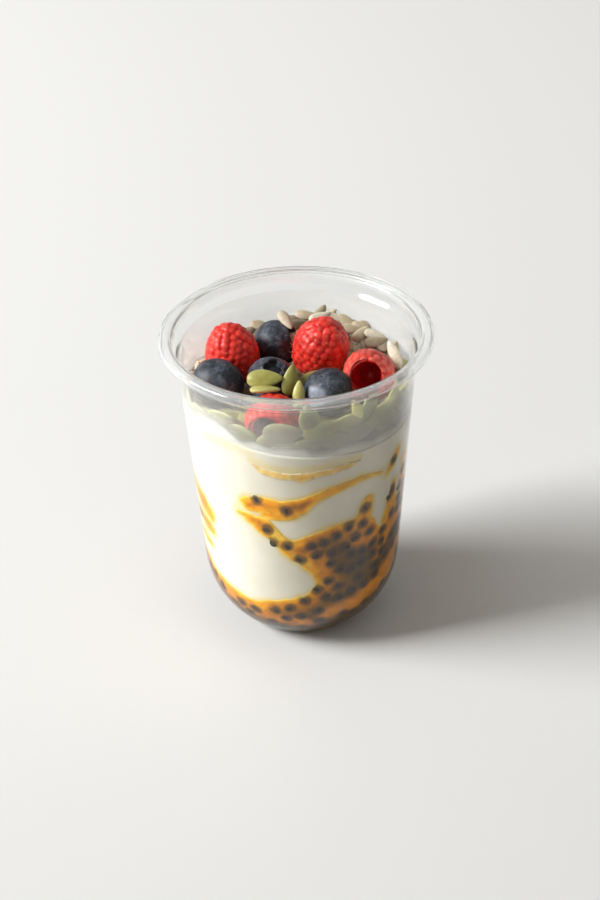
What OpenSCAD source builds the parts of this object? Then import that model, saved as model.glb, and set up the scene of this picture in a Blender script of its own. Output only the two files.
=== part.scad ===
// A clear round-bottomed dessert cup with a rolled rim, filled with yogurt that is marbled with
// passion fruit pulp, under a bed of seeds that carries raspberries and blueberries.
// Millimetres. The origin is the centre of the foot, on the table; +Z points up, and -Y is the front.
// Angles round the cup are measured from the front, and grow towards +X.

/* [Cup] */
// Outside diameter over the rolled rim
rim_d = 95; // [90:1:116]
// Height from the table to the top of the rim
cup_h = 115; // [96:1:138]
// Wall thickness of the clear shell
wall_t = 0.7; // [0.5:0.05:0.9]
// Width of the rolled rim, from its inner to its outer edge
rim_w = 4.4; // [3.6:0.1:5.4]
// Height of the rolled rim
rim_h = 2.6; // [2.2:0.1:3.2]
// Depth of the collar, from the rim's top to the stacking step
collar_h = 6; // [5:0.5:8]
// How far the stacking step sets the wall in
step_in = 1.7; // [1:0.1:2.2]
// Height of the stacking step
step_h = 1.6; // [1.2:0.1:2.4]
// Draft of the side wall, in degrees
draft = 4.5; // [3.5:0.1:5.5]
// Radius of the round corner between the side wall and the foot
corner_r = 34; // [28:1:41]
// Diameter of the foot
foot_d = 41; // [34:1:50]
// Height that the middle of the base is pushed up by
push_up = 2; // [1.5:0.1:2.6]
// Width of the flat ring that the cup stands on
foot_w = 2.5; // [2:0.1:4]

/* [Filling] */
// Depth of the yogurt's top below the top of the rim
headspace = 27.5; // [26:0.5:33]
// Height of the pulp's surface on its low side, above the cup's round corner
pulp_over = 1; // [0.6:0.2:4]
// Rise of the pulp's surface from its low side to its high side
pulp_rise = 24; // [20:1:28]
// Angle round the cup of the pulp's low side
low_side = -40; // [-50:2:-34]
// Radius of the large mound of pulp at the front right
mound_r = 26; // [24:0.5:28]
// Thickness of the swirls of pulp in the yogurt
swirl_t = 5; // [4:0.5:6]

/* [Seeds] */
// Depth of the bed of seeds in the middle
bed_h = 5.5; // [4.5:0.5:6.5]
// Rise of the seeds up the wall
bank_h = 8; // [6:0.5:10]
// Width of the bank of seeds along the wall
bank_w = 10; // [8:0.5:12]
// Height of the bumps that single seeds make
seed_bump = 0.9; // [0.6:0.1:1.2]
// Gap between the seeds and the wall
seed_gap = 0.25; // [0.2:0.05:0.4]

/* [Berries] */
// Diameter of a blueberry
blueberry_d = 17.4; // [14:0.2:17.6]
// Height of a blueberry as a share of its diameter
blueberry_flat = 0.9; // [0.85:0.01:1]
// Diameter of a raspberry
raspberry_d = 19; // [15.5:0.2:19.4]
// Length of a raspberry from its mouth to its tip
raspberry_l = 19; // [16:0.5:20.5]
// Height of the drupelets that a raspberry is made of
drupelet_h = 1; // [0.7:0.1:1.2]
// Diameter of a raspberry's hollow at its mouth
hollow_d = 8.6; // [7.4:0.2:9.4]
// Depth of a raspberry's hollow
hollow_depth = 12; // [9:0.5:13]
// Gap between a berry and what it sits in
seat_gap = 0.6; // [0.5:0.05:0.8]

/* [Hidden] */
$fn = 96;

// ---- The cup's outline -------------------------------------------------------------------
rim_r = rim_d / 2;
mouth_r = rim_r - rim_w;             // inner edge of the rolled rim
collar_r = mouth_r + wall_t;         // outside of the collar at its top
collar_draft = 0.4;                  // how far the collar narrows over its height
foot_r = foot_d / 2;
step_top_z = cup_h - collar_h;
step_low_z = step_top_z - step_h;
step_top_r = collar_r - collar_draft;
step_low_r = step_top_r - step_in;   // outside of the side wall at its top
roll_r = rim_h / 2;                  // rounding of the rolled rim
lip_t = 0.9;                         // thickness of the rim's outer lip
arc_lap = 6;                         // degrees that the corner's arc laps up behind the side wall

// The corner's arc is tangent to the side wall and runs through the edge of the foot.
slope = tan(draft);
arc_shift = step_low_r - step_low_z * slope - corner_r / cos(draft);
qa = 1 + slope * slope;
qb = -2 * slope * (foot_r - arc_shift);
qc = (foot_r - arc_shift) * (foot_r - arc_shift) - corner_r * corner_r;
arc_z = (-qb + sqrt(qb * qb - 4 * qa * qc)) / (2 * qa);
arc_x = arc_shift + arc_z * slope;

// Inner radius of the cup at a height on its side wall
function inner_r(z) = step_low_r - (step_low_z - z) * slope - wall_t / cos(draft);

// Half the cup's outline, set in by t, up to the height top
module outline_2d(t, top) {
    tangent = [arc_x + (corner_r - t) * cos(draft), arc_z - (corner_r - t) * sin(draft)];
    far = 3 * corner_r;
    lap = draft - arc_lap;
    below = [[arc_x, arc_z], [arc_x + far * cos(lap), arc_z - far * sin(lap)],
             [far, -far], [-far, -far], [-far, arc_z]];
    difference() {
        intersection() {
            union() {
                intersection() {
                    translate([arc_x, arc_z]) circle(r = corner_r - t);
                    polygon(below);
                }
                polygon([[-far, arc_z], [arc_x, arc_z], tangent,
                         [step_low_r - t / cos(draft), step_low_z],
                         [step_top_r - t, step_top_z], [collar_r - t, cup_h - roll_r],
                         [collar_r - t, cup_h + 1], [-far, cup_h + 1]]);
            }
            translate([0, t]) square([rim_d, top - t]);
        }
        base_recess_2d(t);
    }
}

// The hollow under the pushed-up middle of the base, grown by t
module base_recess_2d(t) {
    edge = foot_r - foot_w + t;
    polygon([[-1, -1], [edge, -1], [edge, t], [edge - push_up, push_up + t], [-1, push_up + t]]);
}

// The rolled rim: a round-topped channel that is open underneath
module rim_2d() {
    difference() {
        union() {
            translate([mouth_r + roll_r, cup_h - roll_r]) circle(r = roll_r);
            translate([rim_r - roll_r, cup_h - roll_r]) circle(r = roll_r);
            translate([mouth_r + roll_r, cup_h - rim_h]) square([rim_w - rim_h, rim_h]);
        }
        translate([collar_r, cup_h - rim_h - 1])
            square([rim_w - wall_t - lip_t, 1 + rim_h - lip_t]);
    }
}

module cup() {
    color([0.93, 0.95, 0.94, 0.3])
    rotate_extrude() {
        difference() {
            union() {
                outline_2d(0, cup_h - roll_r);
                rim_2d();
            }
            intersection() {
                outline_2d(wall_t, cup_h + 1);
                translate([-1, -1]) square([mouth_r + 1, cup_h + 3]);
            }
        }
    }
}

// ---- Yogurt and pulp ---------------------------------------------------------------------
level = cup_h - headspace;           // top of the yogurt
fill_r = inner_r(level);
corner_top = arc_z - (corner_r - wall_t) * sin(draft);  // where the corner meets the side wall
middle_z = corner_top + pulp_over + pulp_rise / 2;      // the pulp's surface on the cup's axis
pole_turn = 50;                      // turns a ball's poles, where its facets crowd, off the wall
mound_depth = 14;                    // how far in from the wall the middle of a mound is

// Mounds and fingers of pulp: angle round the cup, height above middle_z, radius, and how far in
// from the wall their middle is
mounds = [
    [38, -1, mound_r, mound_depth],
    [86, 3, 0.9 * mound_r, mound_depth],
    [36, 23, swirl_t, 0],
    [57, 20, swirl_t, 0]
];

// Swirls of pulp along the wall: angle of their middle, height above middle_z, radius, half of
// their run in degrees, and tilt
fork = [
    [-12, 14, swirl_t, 20, -20],
    [10, 32, 0.9 * swirl_t, 41, 9],
    [-29, 23.5, 1.25 * swirl_t, 5, 0]
];
left_streak = [-71, 10, 0.65 * swirl_t, 14, 38];
// The same for the upper swirl, but with its height above the yogurt's top
upper_streak = [2, -6, 0.4 * swirl_t, 24, 1];

// Everything inside the cup up to the yogurt's top
module filling() {
    rotate_extrude() outline_2d(wall_t, level);
}

// A ball at an angle round the cup and a height, its middle set in from the wall
module wall_ball(angle, z, r, depth) {
    rotate([0, 0, angle]) translate([0, -(inner_r(z) - depth), z]) rotate([pole_turn, 0, 0])
        sphere(r = r);
}

// A round swirl along the wall: half of its run lies to each side of an angle, and it rises by tilt
module wall_swirl(angle, z, r, half, tilt) {
    translate([0, 0, z]) rotate([0, 0, angle]) rotate([0, -tilt, 0]) rotate([0, 0, -half - 90])
        rotate_extrude(angle = 2 * half) translate([inner_r(z), 0]) circle(r = r);
}

// A swirl from its row in a table, whose heights are measured from base_z
module swirl_row(s, base_z) {
    wall_swirl(s[0], base_z + s[1], s[2], s[3], s[4]);
}

// The deep layer of pulp: it is low at the front left, where a lobe of yogurt hangs over it, and
// high to the right and the back. A fork-shaped swirl and two fingers rise from it at the front.
module pulp_shape() {
    slant = atan(pulp_rise / (2 * fill_r));
    rotate([0, 0, low_side + 90]) translate([0, 0, middle_z]) rotate([0, -slant, 0])
        translate([-rim_d, -rim_d, -2 * cup_h]) cube([2 * rim_d, 2 * rim_d, 2 * cup_h]);
    for (m = mounds) wall_ball(m[0], middle_z + m[1], m[2], m[3]);
    for (s = fork) swirl_row(s, middle_z);
}

// The thin swirl high at the front
module upper_swirl_shape() {
    swirl_row(upper_streak, level);
}

// The short steep swirl on the left
module left_swirl_shape() {
    swirl_row(left_streak, middle_z);
}

module yogurt() {
    color([0.97, 0.95, 0.89])
    difference() {
        filling();
        pulp_shape();
        upper_swirl_shape();
        left_swirl_shape();
    }
}

module pulp() {
    color([0.85, 0.5, 0.08])
    intersection() {
        filling();
        pulp_shape();
    }
}

module upper_swirl() {
    color([0.93, 0.72, 0.25])
    intersection() {
        filling();
        upper_swirl_shape();
    }
}

module left_swirl() {
    color([0.93, 0.72, 0.25])
    intersection() {
        filling();
        left_swirl_shape();
    }
}

// ---- Where the berries are ---------------------------------------------------------------
RASPBERRY = 0;
BLUEBERRY = 1;
// Each berry: kind, angle round the cup, place between the axis and the wall from 0 to 1,
// height of its middle below the rim, size factor, lean of its tip or crown, and the lean's direction
berries = [
    [RASPBERRY, -120, 0.885, 16.9, 1.00, 10, -60],
    [RASPBERRY, 143, 0.48, 14.0, 1.02, 18, 40],
    [RASPBERRY, 81.8, 0.836, 16.8, 0.96, 120, 170],
    [RASPBERRY, -18, 0.96, 17.2, 0.96, 99, 168],
    [BLUEBERRY, -79, 0.93, 16.6, 1.04, 150, -60],
    [BLUEBERRY, -162.8, 0.79, 18.4, 0.97, 62, 75],
    [BLUEBERRY, -54, 0.36, 16.0, 1.00, 24, 20],
    [BLUEBERRY, 33.1, 0.595, 15.5, 1.00, 150, 80]
];
bed_r = fill_r - seed_gap;           // outer edge of the bed, clear of the wall all the way up
function berry_size(b) = (b[0] == RASPBERRY ? raspberry_d : blueberry_d) * b[4];
function berry_r(b) = (bed_r - berry_size(b) / 2) * b[2];
function berry_z(b) = cup_h - b[3];
function berry_x(b) = berry_r(b) * sin(b[1]);
function berry_y(b) = -berry_r(b) * cos(b[1]);
tip_share = 0.53;                    // share of a raspberry's length that is above its middle
// Radius of the smooth room that a berry takes in the bed
function room_r(b) = seat_gap + (b[0] == BLUEBERRY ? berry_size(b) / 2
    : max(berry_size(b), 2 * tip_share * raspberry_l * b[4]) / 2 + drupelet_h / 2);

// Places its children at a berry's middle, leaning as it leans
module at_berry(b) {
    translate([berry_x(b), berry_y(b), berry_z(b)])
        rotate([0, 0, b[6]]) rotate([b[5], 0, 0]) children();
}

// ---- The bed of seeds --------------------------------------------------------------------
beds_meet = 85;                      // angle round the cup where the two kinds of seeds meet
bed_rings = 14;                      // facets of half a bed, from the axis to its edge
bed_spokes = 38;                     // and along its edge
bed_least = 0.3;                     // least depth of the seeds, under a berry
bank_low = 0.3;                      // height of the bank on its low side, as a share of bank_h
bank_side = 75;                      // angle round the cup of the bank's high side
calm_r = 12;                         // nearer the axis than this, the bumps fade out
bump_count = 9;                      // bumps round the cup
bump_pitch = [67, 20];               // degrees of the bumps' two waves per millimetre outwards
bump_twist = 3;                      // how far the first wave turns as it goes round

// Height of the seeds above the yogurt, at a distance from the axis and an angle
function seed_top(r, angle) =
    let (near_wall = max(0, 1 - (bed_r - r) / bank_w),
         bank = (1 + bank_low + (1 - bank_low) * cos(angle - bank_side)) / 2)
    bed_h + bank_h * bank * near_wall * near_wall * (3 - 2 * near_wall)
    + seed_bump * min(1, r / calm_r) * cos(bump_pitch[0] * r + bump_twist * angle)
      * cos(bump_count * angle + bump_pitch[1] * r);

// Height above the yogurt of the underside of a berry's room, over the place [x, y]
function room_floor(b, x, y) =
    let (dx = x - berry_x(b), dy = y - berry_y(b), left = room_r(b) * room_r(b) - dx * dx - dy * dy)
    left > 0 ? berry_z(b) - level - sqrt(left) : cup_h;

// Height of the bed above the yogurt: the seeds, pressed down where a berry sits
function bed_top(r, angle) =
    let (x = r * sin(angle), y = -r * cos(angle))
    max(bed_least, min([seed_top(r, angle), for (b = berries) room_floor(b, x, y)]));

// Half of the bed, from one angle to another: a wedge with an uneven top
module seed_bed(from, to) {
    angles = [for (i = [0 : bed_spokes]) from + (to - from) * i / bed_spokes];
    radii = [for (k = [1 : bed_rings]) bed_r * k / bed_rings];
    top = [for (a = angles) for (r = radii)
        [r * sin(a), -r * cos(a), level + bed_top(r, a)]];
    foot = [for (a = angles) [bed_r * sin(a), -bed_r * cos(a), level]];
    n_top = len(top);
    axis_top = n_top + len(foot);
    axis_foot = axis_top + 1;
    points = concat(top, foot, [[0, 0, level + bed_top(0, 0)], [0, 0, level]]);
    function t(i, k) = i * bed_rings + k;
    function f(i) = n_top + i;
    last = bed_rings - 1;
    faces = concat(
        [for (i = [0 : bed_spokes - 1]) [axis_top, t(i + 1, 0), t(i, 0)]],
        [for (i = [0 : bed_spokes - 1]) for (k = [0 : last - 1])
            each [[t(i, k), t(i + 1, k), t(i + 1, k + 1)], [t(i, k), t(i + 1, k + 1), t(i, k + 1)]]],
        [for (i = [0 : bed_spokes - 1])
            each [[t(i, last), t(i + 1, last), f(i + 1)], [t(i, last), f(i + 1), f(i)]]],
        [for (i = [0 : bed_spokes - 1]) [axis_foot, f(i), f(i + 1)]],
        [[axis_foot, axis_top, t(0, 0)], [axis_foot, t(bed_spokes, 0), axis_top]],
        [for (k = [0 : last - 1]) [axis_foot, t(0, k), t(0, k + 1)]],
        [for (k = [0 : last - 1]) [axis_foot, t(bed_spokes, k + 1), t(bed_spokes, k)]],
        [[axis_foot, t(0, last), f(0)], [axis_foot, f(bed_spokes), t(bed_spokes, last)]]
    );
    polyhedron(points, faces, convexity = 6);
}

module sunflower_seeds() {
    color([0.74, 0.66, 0.54]) seed_bed(beds_meet, beds_meet + 180);
}

module pumpkin_seeds() {
    color([0.6, 0.62, 0.35]) seed_bed(beds_meet - 180, beds_meet);
}

// ---- Berries -----------------------------------------------------------------------------
// Outline of a raspberry without its drupelets, from the tip at 0 to the mouth at 1:
// [distance from its axis, height above its middle]
mouth_turn = 148;                    // how far round the outline the mouth is
fullness = 0.85;                     // power of the outline; less makes it squarer
// The hollow's outline from its mouth to its end: shares of its radius and of its depth
hollow_line = [[1, 0.025], [0.85, 0.5], [0.5, 0.9]];
dimple = [0.8, 0.1];                 // without a hollow: share of its radius, and depth
function tip_height(b) = tip_share * raspberry_l * b[4];
function mouth_depth(b) = (1 - tip_share) * raspberry_l * b[4];
function raspberry_point(s, b) =
    let (a = mouth_turn * s)
    [berry_size(b) / 2 * pow(sin(a), fullness) - drupelet_h / 2,
     a < 90 ? tip_height(b) * cos(a) : mouth_depth(b) * cos(a) / abs(cos(mouth_turn))];

// Drupelets stand in staggered rows; this is their relief, from 0 between them to 1 on top
rows = 7;
round_count = 13;
facets = 3;                          // facets across one drupelet
function drupelet(s, angle) =
    let (row = floor(s * rows), across = sin(180 * (s * rows - row)),
         along = abs(cos(round_count * angle / 2 + 90 * (row % 2))))
    sqrt(across * along);

module raspberry(b, hollow) {
    slices = facets * rows;
    spokes = facets * round_count;
    outer = [for (i = [1 : slices]) i / slices];
    mouth_z = raspberry_point(1, b)[1];
    hollow_r = hollow_d / 2 * b[4];
    inner = hollow ? [for (h = hollow_line) [hollow_r * h[0], mouth_z + hollow_depth * h[1]]]
                   : [[hollow_r * dimple[0], mouth_z - dimple[1]]];
    end_z = hollow ? mouth_z + hollow_depth : mouth_z;
    rings = slices + len(inner);
    ring = [for (s = outer) for (j = [0 : spokes - 1])
        let (a = 360 * j / spokes, p = raspberry_point(s, b), r = p[0] + drupelet_h * drupelet(s, a))
        [r * cos(a), r * sin(a), p[1]]];
    bore = [for (p = inner) for (j = [0 : spokes - 1])
        let (a = 360 * j / spokes) [p[0] * cos(a), p[0] * sin(a), p[1]]];
    points = concat(ring, bore, [[0, 0, tip_height(b) + drupelet_h / 2], [0, 0, end_z]]);
    tip = rings * spokes;
    function v(i, j) = i * spokes + (j % spokes);
    faces = concat(
        [for (j = [0 : spokes - 1]) [tip, v(0, j + 1), v(0, j)]],
        [for (i = [0 : rings - 2]) for (j = [0 : spokes - 1]) [v(i, j), v(i, j + 1), v(i + 1, j + 1)]],
        [for (i = [0 : rings - 2]) for (j = [0 : spokes - 1]) [v(i, j), v(i + 1, j + 1), v(i + 1, j)]],
        [for (j = [0 : spokes - 1]) [tip + 1, v(rings - 1, j), v(rings - 1, j + 1)]]
    );
    color([0.82, 0.1, 0.1]) at_berry(b) polyhedron(points, faces, convexity = 4);
}

lobes = 5;                           // lobes of a blueberry's crown
crown_share = 0.21;                  // radius of the crown as a share of the berry's diameter
crown_depth = 1.1;                   // depth of the hollow inside the crown
crown_top = 0.1;                     // how far the crown stands out of the berry
crown_wall = [1.2, 0.5];             // thickness of the crown at its foot and at its top
crown_foot = 1;                      // how far the crown's foot is below the floor of its hollow
crown_floor = 0.6;                   // radius of the hollow's floor as a share of the crown's
notch_w = 0.8;                       // width of the gaps between the lobes
notch_depth = 0.4;                   // depth of the gaps between the lobes
notch_from = 0.3;                    // where a gap starts, as a share of the crown's radius
notch_run = 1.4;                     // length of a gap as a share of the crown's radius
notch_cut = 2;                       // height of the block that cuts a gap, out through the top
join = 0.01;                         // overlap that joins shapes which would only touch

// A round berry, slightly flattened, with a crown of five lobes round a hollow
module blueberry(b) {
    size = berry_size(b);
    half_h = blueberry_flat * size / 2;
    flat_r = size / 2 - half_h;
    crown_r = crown_share * size;
    crown_z = half_h - crown_depth;
    color([0.16, 0.2, 0.3]) at_berry(b)
    difference() {
        rotate_extrude() difference() {
            union() {
                intersection() {
                    translate([flat_r, 0]) circle(r = half_h);
                    translate([flat_r, -half_h - 1]) square([size, size + 2]);
                }
                translate([0, -half_h]) square([flat_r + join, 2 * half_h]);
                polygon([[0, 0], [crown_r + crown_wall[0], crown_z - crown_foot],
                         [crown_r + crown_wall[1], half_h + crown_top], [0, half_h + crown_top]]);
            }
            polygon([[-1, crown_z], [crown_r * crown_floor, crown_z], [crown_r, half_h + 1],
                     [-1, half_h + 1]]);
        }
        for (i = [0 : lobes - 1])
            rotate([0, 0, 360 * i / lobes])
                translate([crown_r * notch_from, -notch_w / 2, half_h - notch_depth])
                    cube([crown_r * notch_run, notch_w, notch_cut]);
    }
}

cup();
yogurt();
pulp();
upper_swirl();
left_swirl();
sunflower_seeds();
pumpkin_seeds();
raspberry(berries[0], false);  // raspberry_left
raspberry(berries[1], false);  // raspberry_middle
raspberry(berries[2], true);  // raspberry_right
raspberry(berries[3], true);  // raspberry_front
blueberry(berries[4]);  // blueberry_left
blueberry(berries[5]);  // blueberry_back
blueberry(berries[6]);  // blueberry_middle
blueberry(berries[7]);  // blueberry_front
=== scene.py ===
# %% [markdown]
# # A cup of yogurt with passion fruit, seeds and berries
# The real object is a thin clear cup, pressed from one sheet of plastic. Yogurt and passion fruit
# pulp are poured in by turns, so they marble, and the wall shows the marbling like a window. Seeds
# cover the yogurt, and raspberries and blueberries sit in them. The frame below holds the true
# sizes. Each food is made as its own mesh, because each needs its own form and its own finish.

# %% Load the frame
import math
from itertools import product

import bpy
import numpy as np
from mathutils import Matrix, Vector


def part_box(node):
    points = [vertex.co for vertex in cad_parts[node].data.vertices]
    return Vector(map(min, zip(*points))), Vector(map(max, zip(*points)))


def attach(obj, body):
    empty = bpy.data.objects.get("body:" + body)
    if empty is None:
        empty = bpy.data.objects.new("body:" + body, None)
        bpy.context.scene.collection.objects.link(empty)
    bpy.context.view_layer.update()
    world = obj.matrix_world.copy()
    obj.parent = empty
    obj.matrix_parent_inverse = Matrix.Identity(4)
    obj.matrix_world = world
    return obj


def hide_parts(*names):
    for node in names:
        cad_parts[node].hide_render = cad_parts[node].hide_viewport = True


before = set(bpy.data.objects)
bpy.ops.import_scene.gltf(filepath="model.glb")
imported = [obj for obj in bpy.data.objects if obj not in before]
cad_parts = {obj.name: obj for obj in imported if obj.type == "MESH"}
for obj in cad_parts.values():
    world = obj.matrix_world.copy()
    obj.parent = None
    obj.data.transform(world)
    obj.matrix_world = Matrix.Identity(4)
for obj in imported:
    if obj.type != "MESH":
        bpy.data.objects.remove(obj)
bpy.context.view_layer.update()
scene = bpy.context.scene
MM = 0.001
_, cup_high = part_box("cup")
CUP_H = cup_high[2] / MM
RIM_R = cup_high[0] / MM
print(f"cup {2 * RIM_R:.1f} mm across and {CUP_H:.1f} mm high")

# %% [markdown]
# The camera looks down on the cup from the front with a long lens, so the sides stay nearly
# parallel. It is turned a little about its own axis, as a camera held by hand is.

# %% Camera
LOOK_AT = Vector((0.2, 0.0, 65.9)) * MM
CAMERA_DISTANCE = 0.757
CAMERA_ELEVATION = math.radians(33.4)
CAMERA_ROLL = math.radians(-1.6)


def place_camera():
    back = Vector((0.0, -math.cos(CAMERA_ELEVATION), math.sin(CAMERA_ELEVATION)))
    camera = bpy.data.objects.new("camera", bpy.data.cameras.new("camera"))
    camera.data.lens = 85.0
    camera.data.sensor_width = 36.0
    camera.location = LOOK_AT + back * CAMERA_DISTANCE
    aim = (-back).to_track_quat("-Z", "Y").to_matrix().to_4x4()
    roll = Matrix.Rotation(CAMERA_ROLL, 4, "Z")
    camera.matrix_world = Matrix.Translation(camera.location) @ aim @ roll
    scene.collection.objects.link(camera)
    scene.camera = camera
    return camera


print("camera at", [round(v, 3) for v in place_camera().location])

# %% [markdown]
# Every food here is made from arrays of points, in millimetres, because fruit and seeds are easiest
# to describe with formulas. One helper turns the arrays into a Blender mesh in metres.

# %% Mesh helper
def make_piece(name, points, faces, finish, replaced=()):
    mesh = bpy.data.meshes.new(name)
    mesh.from_pydata((np.asarray(points) * MM).tolist(), [], faces)
    mesh.update()
    mesh.materials.append(finish)
    mesh.shade_smooth()
    piece = bpy.data.objects.new(name, mesh)
    scene.collection.objects.link(piece)
    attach(piece, "root")
    if replaced:
        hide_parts(*replaced)
    triangles = sum(len(p.vertices) - 2 for p in mesh.polygons)
    print(f"{name}: {triangles} triangles")
    return piece


def add_values(piece, name, values):
    layer = piece.data.attributes.new(name, "FLOAT", "POINT")
    layer.data.foreach_set("value", np.asarray(values, dtype=np.float32))


def grid_faces(rows, columns):
    """Four-sided faces of a grid whose rows are rings, in the order that faces out when rows go up."""
    faces = []
    for i in range(rows - 1):
        for j in range(columns):
            k = (j + 1) % columns
            a = i * columns
            b = a + columns
            faces.append((a + j, a + k, b + k, b + j))
    return faces


def closed_rings(rings, low, high, inside_out=False):
    """Points and faces of rings closed by a fan at each end, round a low and a high point."""
    rows, columns = rings.shape[:2]
    points = np.vstack([rings.reshape(-1, 3), [low, high]])
    faces = grid_faces(rows, columns)
    foot = rows * columns
    last = foot - columns
    for j in range(columns):
        k = (j + 1) % columns
        faces.append((foot, k, j))
        faces.append((foot + 1, last + j, last + k))
    if inside_out:
        faces = [tuple(reversed(face)) for face in faces]
    return points, faces


print("mesh helpers are ready")

# %% [markdown]
# Food is never even. A cloud of smooth random values over space gives each surface its own slow
# wobble. The values come from a fixed table, so every run makes the same food.

# %% Random cloud
RANDOM_VALUES = np.random.default_rng(11).uniform(-1.0, 1.0, 4096)


def cloud(points, size, seed=0):
    """Smooth random values from -1 to 1, one for each point, with lumps about size millimetres wide."""
    scaled = np.asarray(points, dtype=float) / size + 1000.0
    cell = np.floor(scaled).astype(np.int64)
    part = scaled - cell
    ease = part * part * (3.0 - 2.0 * part)
    total = np.zeros(scaled.shape[:-1])
    for corner in product((0, 1), repeat=3):
        key = seed * 977
        weight = 1.0
        for axis, prime in enumerate((73856093, 19349663, 83492791)):
            key = key ^ ((cell[..., axis] + corner[axis]) * prime)
            weight = weight * (ease[..., axis] if corner[axis] else 1.0 - ease[..., axis])
        total = total + RANDOM_VALUES[key & 4095] * weight
    return total


def smoothstep(low, high, value):
    t = np.clip((np.asarray(value, dtype=float) - low) / (high - low), 0.0, 1.0)
    return t * t * (3.0 - 2.0 * t)


print("cloud sample", np.round(cloud(np.array([[1.0, 2.0, 3.0]]), 5.0), 3))

# %% [markdown]
# The cup's outline is one line: a pushed-up base, a narrow foot ring, a large round corner, a side
# wall with some draft, a stacking step, a short collar and a rolled rim. The same line, set in by
# part of the wall's thickness, shapes what the cup holds, so food reaches just into the wall and no
# air gap shows. The sharp corners of the line are rounded by averaging, as pressed plastic is.

# %% Cup outline
WALL = 0.7
RIM_WIDTH = 4.4
RIM_HEIGHT = 2.6
MOUTH_R = RIM_R - RIM_WIDTH
COLLAR_R = MOUTH_R + WALL
STEP_TOP = (COLLAR_R - 0.4, CUP_H - 6.0)
STEP_LOW = (COLLAR_R - 2.1, CUP_H - 7.6)
DRAFT = math.radians(4.5)
CORNER_R = 34.0
FOOT_R = 20.5
FOOT_RING = 2.5
PUSH_UP = 2.0


def corner_centre():
    """Centre of the corner's arc: it touches the side wall and runs through the edge of the foot."""
    slope = math.tan(DRAFT)
    shift = STEP_LOW[0] - STEP_LOW[1] * slope - CORNER_R / math.cos(DRAFT)
    a = 1.0 + slope * slope
    b = -2.0 * slope * (FOOT_R - shift)
    c = (FOOT_R - shift) ** 2 - CORNER_R**2
    height = (-b + math.sqrt(b * b - 4.0 * a * c)) / (2.0 * a)
    return shift + height * slope, height


ARC_X, ARC_Z = corner_centre()


def cup_line(inset, top):
    """Points of the cup's outline from the middle of the base up to a height, set in by inset."""
    edge = FOOT_R - FOOT_RING + inset
    points = [(0.0, PUSH_UP + inset), (edge - PUSH_UP, PUSH_UP + inset), (edge, inset)]
    radius = CORNER_R - inset
    start = math.asin((inset - ARC_Z) / radius)
    for angle in np.linspace(start, -DRAFT, 60):
        points.append((ARC_X + radius * math.cos(angle), ARC_Z + radius * math.sin(angle)))
    points.append((STEP_LOW[0] - inset / math.cos(DRAFT), STEP_LOW[1]))
    points.append((STEP_TOP[0] - inset, STEP_TOP[1]))
    points.append((COLLAR_R - inset, CUP_H - RIM_HEIGHT / 2.0))
    points = np.array(points)
    keep = points[:, 1] < top
    last = int(np.argmax(~keep)) if not keep.all() else len(points)
    if last < len(points):
        below = points[last - 1]
        above = points[last]
        share = (top - below[1]) / (above[1] - below[1])
        points = np.vstack([points[:last], below + (above - below) * share])
    return points


def rounded(points, step, passes):
    """The same line with a point every step millimetres and its corners averaged round."""
    points = np.asarray(points, dtype=float)
    length = np.r_[0.0, np.cumsum(np.hypot(*np.diff(points, axis=0).T))]
    places = np.linspace(0.0, length[-1], int(length[-1] / step) + 2)
    line = np.column_stack([np.interp(places, length, points[:, k]) for k in (0, 1)])
    for _ in range(passes):
        line[1:-1] = 0.25 * line[:-2] + 0.5 * line[1:-1] + 0.25 * line[2:]
    return line


def wall_radius(z, inset=WALL):
    """Radius of the inside of the wall at a height."""
    z = np.asarray(z, dtype=float)
    slant = STEP_LOW[0] - (STEP_LOW[1] - z) * math.tan(DRAFT) - inset / math.cos(DRAFT)
    reach = np.maximum((CORNER_R - inset) ** 2 - (z - ARC_Z) ** 2, 0.0)
    seam = ARC_Z - (CORNER_R - inset) * math.sin(DRAFT)
    return np.where(z > seam, slant, ARC_X + np.sqrt(reach))


print(f"inside radius at 90 mm: {float(wall_radius(90)):.2f} mm")

# %% [markdown]
# The cup and much of what it holds is round, so one helper turns a line round the axis. Blender's
# Spin tool and Screw modifier do the same by hand. An array of rings is easier to bend afterwards,
# as the yogurt's edge is.

# %% Spin a line round the axis
def spin(line, columns):
    """Points of a line turned round the axis, ring by ring. Angle 0 is the front, and grows to +X."""
    angles = np.linspace(0.0, 2.0 * math.pi, columns, endpoint=False)
    r = line[:, 0][:, None]
    x = r * np.sin(angles)
    y = -r * np.cos(angles)
    z = np.repeat(line[:, 1][:, None], columns, axis=1)
    return np.stack([x, y, z], axis=-1)


CUP_COLUMNS = 160
print("one ring has", CUP_COLUMNS, "points")

# %% [markdown]
# Clear plastic bends light, and its thick rolled rim gathers it into bright lines. The finish is a
# shader with full transmission. Lamps have to reach the food through the wall, which a path tracer
# handles poorly, so the wall lets lamp rays straight through. A thin haze stays in the plastic.

# %% Clear plastic
def new_finish(name):
    finish = bpy.data.materials.new(name)
    finish.use_nodes = True
    shader = finish.node_tree.nodes["Principled BSDF"]
    return finish, finish.node_tree, shader


def point_value(tree, name):
    node = tree.nodes.new("ShaderNodeAttribute")
    node.attribute_name = name
    return node.outputs["Fac"]


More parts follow.
